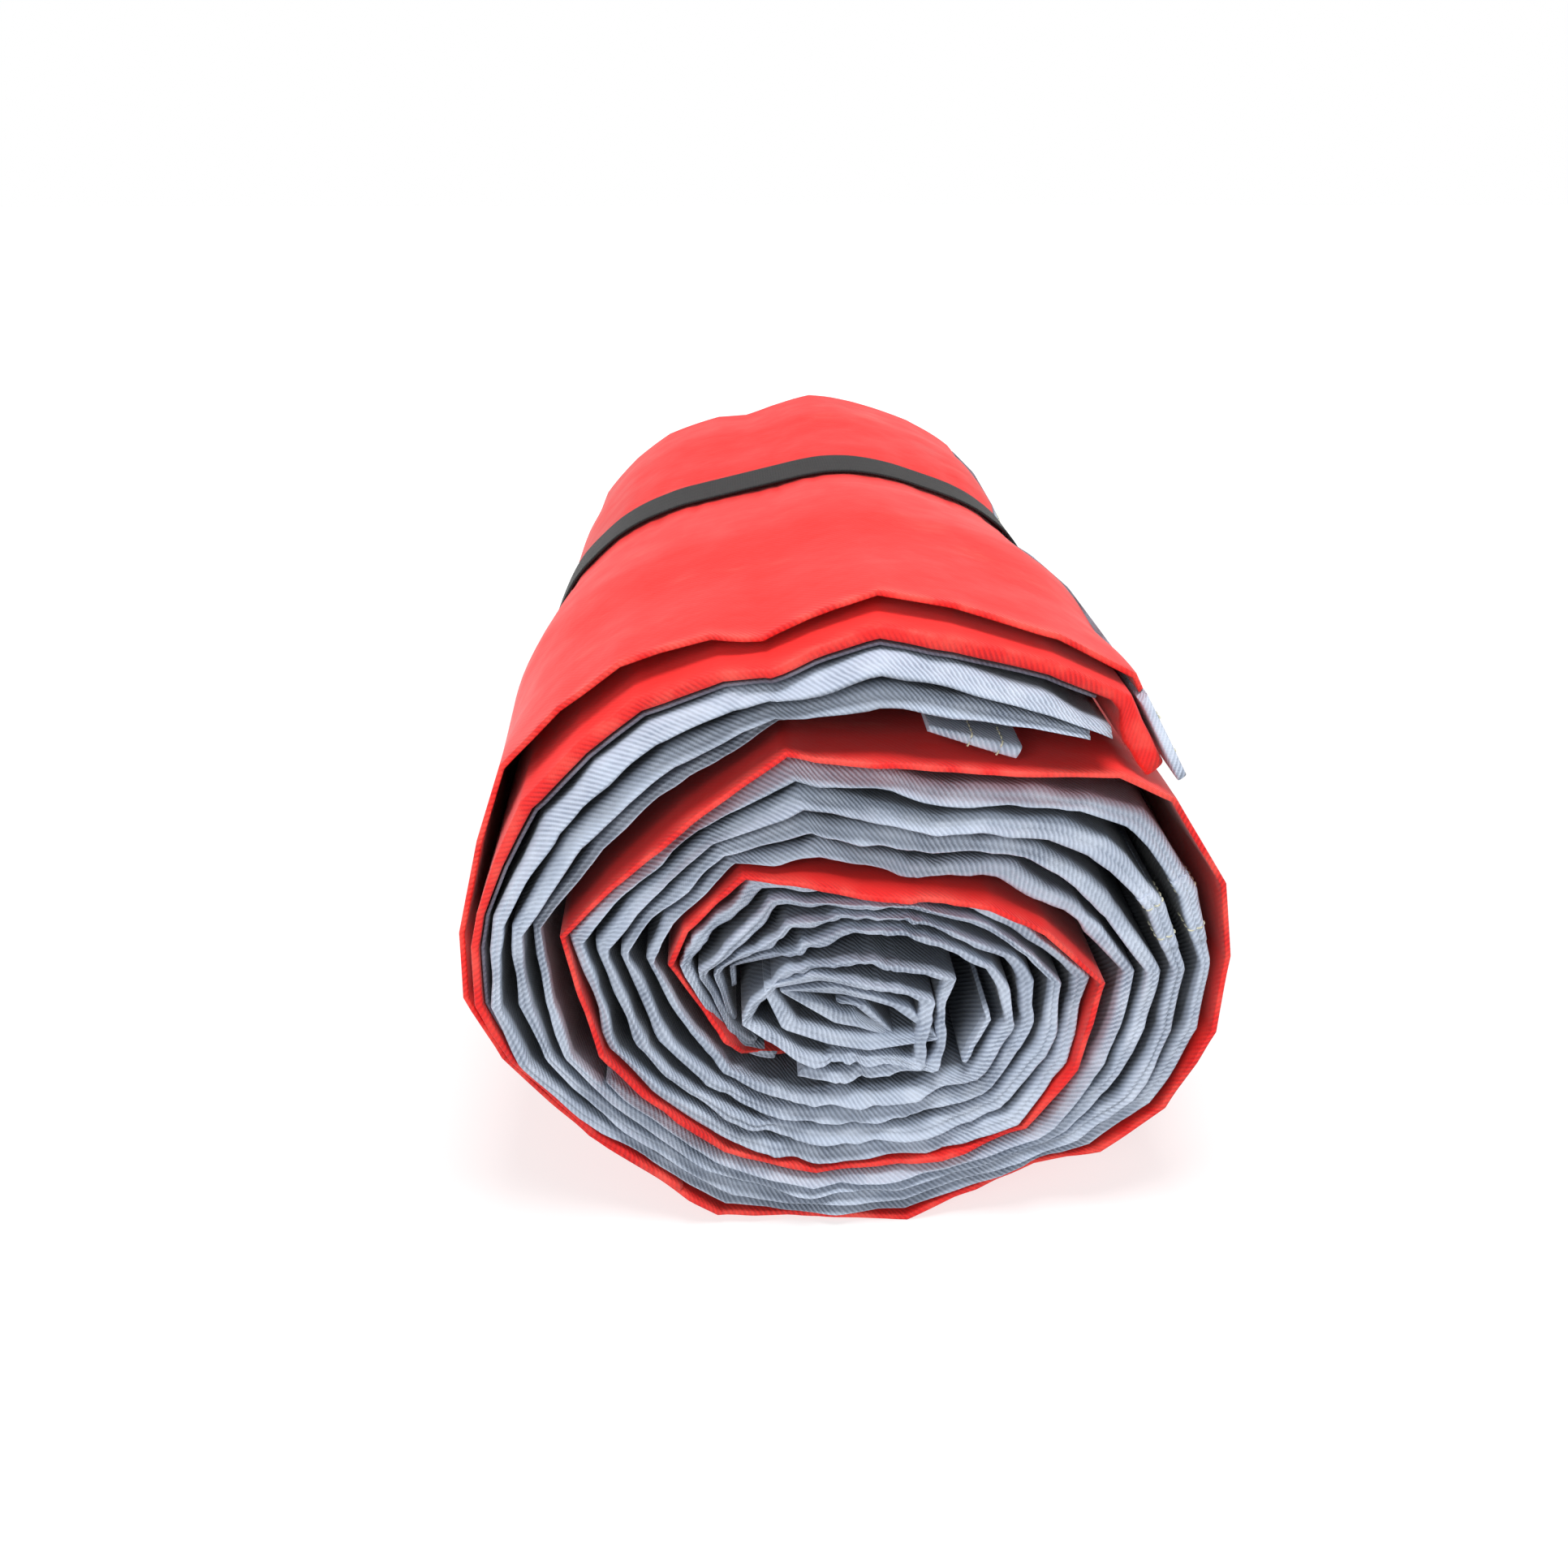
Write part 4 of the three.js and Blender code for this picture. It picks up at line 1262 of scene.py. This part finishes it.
@dataclass
class CinchStrap:
    """A flat webbing strap pulled taut round the roll, through a ring, and held by hook-and-loop tape."""

    workshop: Workshop
    cloth: RolledCloth
    width: float = 50 * MM
    thickness: float = 2 * MM
    off_cloth: float = 1.2 * MM
    ring_height: float = 165 * MM
    ring_inner: float = 52 * MM
    ring_opening: float = 16 * MM
    bar: float = 3.6 * MM
    anchor_lap: float = 62 * MM
    tail: float = 118 * MM
    patch_start: float = 42 * MM
    patch_length: float = 62 * MM
    patch_thickness: float = 1 * MM
    end_room: float = 45 * MM
    clearance: float = 0.4 * MM

    def __post_init__(self) -> None:
        """Lays the strap's line round the cloth, starting at the ring's middle, and works out its layers."""
        bearing = np.arange(FREE_END - 12, FREE_END + 348, 2.0)
        y = np.full_like(bearing, STRAP_Y)
        radius = SECTION.crease_radius(bearing)
        relieved = self.cloth.bands["outer_wrap"].relieve(bearing[:, None], radius[:, None], y[:, None])[:, 0]
        taut = self.taut(SECTION.place(bearing, relieved, y)[:, [0, 2]])
        closed = np.vstack([taut, taut[:1]])
        travel = travelled(closed)
        line = resampled(closed, travel, np.linspace(0, travel[-1], 401)[:-1])
        for _ in range(3):
            line = (np.roll(line, 1, 0) + 2 * line + np.roll(line, -1, 0)) / 4
        on_right = line[:, 0] > SECTION.centre[0]
        from_ring = np.where(on_right, np.abs(line[:, 1] - self.ring_height), np.inf)
        line = np.roll(line, -int(from_ring.argmin()), axis=0)
        self.line = np.vstack([line, line[:1]])
        self.travel = travelled(self.line)
        self.length = float(self.travel[-1])
        self.bar_offset = (self.ring_opening + self.bar) / 2
        self.bend = 0.75 * self.bar + self.clearance
        self.bar_height = self.off_cloth + self.thickness + self.bend
        layers = 2 * (self.patch_thickness + self.clearance) + self.clearance
        self.lap_low = self.off_cloth + self.thickness + layers

    @staticmethod
    def taut(outline: np.ndarray) -> np.ndarray:
        """The smallest convex line round a set of points, anticlockwise.

        Args:
            outline: Points as (x, z).

        Returns:
            The line's corners.
        """
        order = outline[np.lexsort((outline[:, 1], outline[:, 0]))]

        def half(points: np.ndarray) -> list[np.ndarray]:
            """One side of the convex line."""
            chain: list[np.ndarray] = []
            for p in points:
                while len(chain) > 1:
                    a, b = chain[-1] - chain[-2], p - chain[-2]
                    if a[0] * b[1] - a[1] * b[0] > 0:
                        break
                    chain.pop()
                chain.append(p)
            return chain[:-1]

        return np.array(half(order) + half(order[::-1]))

    @staticmethod
    def outward(path: np.ndarray) -> np.ndarray:
        """Unit directions at right angles to runs (x, z), away from the cloth."""
        run = unit(path)
        return np.stack([run[:, 1], -run[:, 0]], axis=1)

    def on(self, along: np.ndarray | float, height: np.ndarray | float) -> np.ndarray:
        """Points (x, z) at distances up from the ring's middle and heights off the cloth.

        Args:
            along: Distances along the strap.
            height: Heights off the cloth.

        Returns:
            Points, one row each.
        """
        at = np.mod(np.atleast_1d(np.asarray(along, float)), self.length)
        here = resampled(self.line, self.travel, at)
        ahead = resampled(self.line, self.travel, np.mod(at + 2 * MM, self.length))
        return here + self.outward(ahead - here) * np.atleast_1d(np.asarray(height, float))[:, None]

    def ribbon(self, name: str, path: np.ndarray, width: float, thickness: float) -> bpy.types.Object:
        """A flat ribbon with rounded edges that follows a path across the strap's middle.

        Args:
            name: The piece's name.
            path: Points (x, z) of its middle.
            width: Its width along the roll.
            thickness: Its thickness.

        Returns:
            The piece, with its weave stored on it.
        """
        travel = travelled(path)
        count = max(3, int(travel[-1] / RIBBON_STEP))
        even = np.linspace(0, travel[-1], count)
        path = resampled(path, travel, even)
        out = self.outward(np.gradient(path, axis=0))
        edge = np.radians(np.linspace(90, -90, 7))
        half, round_edge = width / 2 - thickness / 2, thickness / 2 * np.cos(edge)
        face = np.linspace(-half, half, 17)
        across = np.concatenate([face[:-1], half + round_edge, face[-2:0:-1], -half - round_edge[::-1][:-1]])
        high = np.concatenate([np.ones(16), np.sin(edge), -np.ones(15), np.sin(edge[::-1])[:-1]])
        high *= thickness / 2
        points = np.zeros((count, across.size, 3))
        points[:, :, 0] = path[:, 0, None] + out[:, 0, None] * high
        points[:, :, 1] = STRAP_Y + across
        points[:, :, 2] = path[:, 1, None] + out[:, 1, None] * high
        piece = new_piece(name, points, swept_faces(count, across.size))
        weave = np.zeros((count, across.size, 3))
        weave[:, :, 0] = even[:, None]
        weave[:, :, 1] = across + width / 2
        set_attribute(piece, "weave", weave.reshape(-1, 3))
        return piece

    def fold_round_bar(self, way: int, lap: float) -> np.ndarray:
        """Path of webbing that turns round a bar of the ring and lies back along the strap.

        Args:
            way: 1 for the upper bar, -1 for the lower one.
            lap: How far it lies back.

        Returns:
            Points (x, z) of the webbing's middle.
        """
        bar = way * self.bar_offset
        middle = self.bend + self.thickness / 2
        angle = np.linspace(0, np.pi, 15)
        turned = self.on(bar - way * middle * np.sin(angle), self.bar_height - middle * np.cos(angle))
        flat = self.on(bar + way * np.linspace(22 * MM, lap, 24), self.lap_low + self.thickness / 2)
        return np.vstack([turned, flat])

    def dress(self, piece: bpy.types.Object, finish: Finish, slot: Slot, body: Body, *nodes: str) -> None:
        """Finishes a piece, lets it ride on its body and names the nodes that it stands for."""
        self.workshop.dress(piece, finish, slot)
        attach(piece, body.value)
        if nodes:
            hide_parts(*nodes)
        log.info("%s: %d vertices", piece.name, len(piece.data.vertices))

    def build_band(self) -> None:
        """The band round the roll, and its last stretch, which follows the ring."""
        height = self.off_cloth + self.thickness / 2
        last = self.length - self.bar_offset - 5 * MM
        turn = last - self.end_room
        main = self.on(np.linspace(self.bar_offset + self.clearance, turn, 500), height)
        band = self.ribbon("strap_band_round_roll", main, self.width, self.thickness)
        self.dress(band, WebbingFinish(), Slot.WEBBING, Body.BUNDLE, "strap_band")
        end = self.ribbon("strap_band_at_ring", self.on(np.linspace(turn, last, 30), height), self.width,
                          self.thickness)
        self.workshop.dress(end, WebbingFinish(), Slot.WEBBING)
        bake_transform(end)

    def build_ring(self) -> None:
        """The rectangular wire ring."""
        half_wide = (self.ring_inner + self.bar) / 2
        half_high = self.bar_offset
        corner = 3.4 * MM
        low, high = self.on(-self.bar_offset, self.bar_height)[0], self.on(self.bar_offset, self.bar_height)[0]
        up = (high - low) / np.linalg.norm(high - low)
        hub = (low + high) / 2
        path = []
        for quarter, (sx, sy) in enumerate(((1, 1), (-1, 1), (-1, -1), (1, -1))):
            for a in np.linspace(0, np.pi / 2, 7):
                turn = a + quarter * np.pi / 2
                along = sx * (half_wide - corner) + corner * math.cos(turn)
                rise = sy * (half_high - corner) + corner * math.sin(turn)
                path.append((hub[0] + up[0] * rise, STRAP_Y + along, hub[1] + up[1] * rise))
        ring = closed_tube("cinch_ring_wire", np.array(path), self.bar / 2, 14)
        self.dress(ring, PlatedSteel(), Slot.RING, Body.RING, "cinch_ring")

    def build_laps(self) -> None:
        """The webbing folded round the ring's bars, the tapes, the pull tab and the rows of stitches."""
        loop = self.ribbon("ring_loop", self.fold_round_bar(1, self.anchor_lap), self.width, self.thickness)
        self.workshop.dress(loop, WebbingFinish(), Slot.WEBBING)
        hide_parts("ring_anchor_loop")
        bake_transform(loop)
        tail = self.ribbon("strap_tail_webbing", self.fold_round_bar(-1, self.tail), self.width, self.thickness)
        self.workshop.dress(tail, WebbingFinish(), Slot.WEBBING)
        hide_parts("strap_tail")
        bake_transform(tail)
        near = -self.bar_offset - self.patch_start
        run = np.linspace(near, near - self.patch_length, 30)
        first = self.off_cloth + self.thickness + self.clearance + self.patch_thickness / 2
        heights = {"loop": first, "hook": first + self.patch_thickness + self.clearance / 2}
        for name, body in (("loop", Body.BUNDLE), ("hook", Body.TAIL)):
            tape = self.ribbon(f"{name}_tape", self.on(run, heights[name]), self.width - 4 * MM,
                               self.patch_thickness - 0.2 * MM)
            self.dress(tape, HookPile(), Slot.HOOK, body, f"{name}_patch")
        end = -self.bar_offset - self.tail - self.clearance
        middle = self.lap_low + self.thickness / 2
        tab = self.ribbon("pull_tab", self.on(np.linspace(end, end - 14 * MM, 8), middle), self.width, 3.2 * MM)
        self.dress(tab, HookPile(), Slot.HOOK, Body.TAIL, "tail_pull_tab")
        top = self.lap_low + self.thickness + 0.5 * MM
        rows = [self.bar_offset + s * MM for s in (26, 32, 52, 58)]
        for i, along in enumerate(rows):
            self.cross_stitches(f"anchor_stitches_{i + 1}", along, top, Body.BUNDLE, f"anchor_thread_{i + 1}")
        for i, along in enumerate((near - 3 * MM, near - self.patch_length + 3 * MM)):
            self.cross_stitches(f"tape_stitches_{i + 1}", along, top, Body.TAIL, f"patch_thread_{i + 1}")

    def cross_stitches(self, name: str, along: float, height: float, body: Body, node: str) -> None:
        """A row of stitches across the strap."""
        x, z = self.on(along, height)[0]
        y = STRAP_Y + np.linspace(-1, 1, 40) * (self.width / 2 - 4 * MM)
        path = np.stack([np.full_like(y, x), y, np.full_like(y, z)], axis=1)
        thread = stitches(name, path, 0.0)
        self.dress(thread, SpunThread(), Slot.THREAD, body, node)

    def build(self) -> None:
        """Makes every piece of the strap."""
        self.build_band()
        self.build_ring()
        self.build_laps()


def closed_tube(name: str, path: np.ndarray, radius: float, sides: int) -> bpy.types.Object:
    """A round tube along a closed path.

    Args:
        name: The piece's name.
        path: Points, with the last joined to the first.
        radius: The tube's radius.
        sides: Corners round it.

    Returns:
        The piece.
    """
    count = len(path)
    tangent = np.roll(path, -1, 0) - np.roll(path, 1, 0)
    tangent /= np.linalg.norm(tangent, axis=1, keepdims=True)
    flat = np.cross(path[0] - path.mean(0), path[count // 4] - path.mean(0))
    flat /= np.linalg.norm(flat)
    across = np.cross(tangent, flat)
    turn = 2 * np.pi * np.arange(sides) / sides
    ring = np.cos(turn)[None, :, None] * across[:, None] + np.sin(turn)[None, :, None] * flat[None, None]
    points = path[:, None] + radius * ring
    faces = [
        (i * sides + j, i * sides + (j + 1) % sides,
         (i + 1) % count * sides + (j + 1) % sides, (i + 1) % count * sides + j)
        for i in range(count) for j in range(sides)
    ]
    return new_piece(name, points, faces)


# ---------------------------------------------------------------- the studio
@dataclass
class Studio:
    """A plain pale floor, soft lights and the camera."""

    camera_at: tuple[float, float, float] = (-0.0555, -0.885, 0.4938)
    camera_right: tuple[float, float, float] = (0.99915, -0.0412, 0.0)
    camera_up: tuple[float, float, float] = (0.0168, 0.4068, 0.9134)
    lens: float = 32.61
    floor_half: float = 14.0
    sky: float = 0.45
    floor_glow: float = 0.7

    def build_floor(self) -> None:
        """A wide pale floor."""
        s = self.floor_half
        points = np.array([(-s, -s, 0), (s, -s, 0), (s, s, 0), (-s, s, 0)], float)
        mesh = bpy.data.meshes.new("studio_floor")
        mesh.from_pydata(points.tolist(), [], [(0, 1, 2, 3)])
        floor = bpy.data.objects.new("studio_floor", mesh)
        bpy.context.scene.collection.objects.link(floor)
        made = Bench("studio_floor_paint")
        grain = made.noise(made.where(), 3.0)
        paint = made.mix(grain, linear((150, 150, 150)), linear((146, 146, 146)))
        made.feed(made.shader.inputs["Base Color"], paint)
        made.shader.inputs["Roughness"].default_value = 0.9
        made.shader.inputs["Emission Color"].default_value = (1.0, 1.0, 1.0, 1.0)
        away = made.node("ShaderNodeVectorMath", {"Vector": made.where()}, operation="LENGTH")
        glow = made.ramp(away.outputs["Value"], 0.35, 1.6, self.floor_glow, 1.0)
        made.feed(made.shader.inputs["Emission Strength"], glow)
        floor.data.materials.append(made.material)

    def build_lights(self) -> None:
        """A surround that is bright near the floor, a large soft light above and one from the camera's left."""
        scene = bpy.context.scene
        world = bpy.data.worlds.new("studio_surround")
        scene.world = world
        world.use_nodes = True
        tree = world.node_tree
        backdrop = tree.nodes["Background"]
        backdrop.inputs["Color"].default_value = (1.0, 1.0, 1.0, 1.0)
        direction = tree.nodes.new("ShaderNodeSeparateXYZ")
        tree.links.new(tree.nodes.new("ShaderNodeTexCoord").outputs["Generated"], direction.inputs[0])
        fall = tree.nodes.new("ShaderNodeMapRange")
        for key, number in (("From Min", 0.12), ("From Max", 0.45), ("To Min", 1.0), ("To Max", self.sky)):
            fall.inputs[key].default_value = number
        tree.links.new(direction.outputs["Z"], fall.inputs["Value"])
        tree.links.new(fall.outputs[0], backdrop.inputs["Strength"])
        plan = (
            ("overhead", (0.05, -0.45, 2.1), (0.0, 0.0, 0.2), 0.9, 36.0),
            ("front_left", (-0.9, -2.0, 1.2), (0.0, -0.1, 0.15), 0.7, 12.0),
        )
        for name, at, aim, size, power in plan:
            data = bpy.data.lights.new(name, "AREA")
            data.size = size
            data.energy = power
            lamp = bpy.data.objects.new(name, data)
            lamp.location = at
            lamp.rotation_euler = (Vector(aim) - Vector(at)).to_track_quat("-Z", "Y").to_euler()
            scene.collection.objects.link(lamp)

    def build_camera(self) -> None:
        """The camera, a little above the roll's open end."""
        data = bpy.data.cameras.new("camera")
        data.sensor_width = 36.0
        data.lens = self.lens
        camera = bpy.data.objects.new("camera", data)
        right, up = Vector(self.camera_right).normalized(), Vector(self.camera_up).normalized()
        back = right.cross(up).normalized()
        up = back.cross(right)
        turn = Matrix((right, up, back)).transposed()
        camera.matrix_world = Matrix.Translation(self.camera_at) @ turn.to_4x4()
        bpy.context.scene.collection.objects.link(camera)
        bpy.context.scene.camera = camera

    def build(self) -> None:
        """Makes the studio."""
        self.build_camera()
        self.build_floor()
        self.build_lights()
        bpy.context.scene.view_settings.view_transform = "Standard"


def main() -> None:
    """Builds the studio, the cloth and the strap."""
    Studio().build()
    workshop = Workshop()
    cloth = RolledCloth(workshop)
    cloth.build()
    log.info("cloth done: %d bands", len(cloth.bands))
    strap = CinchStrap(workshop, cloth)
    strap.build()
    log.info("strap done: %.3f m round the roll", strap.length)
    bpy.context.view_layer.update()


if __name__ == "__main__":
    main()
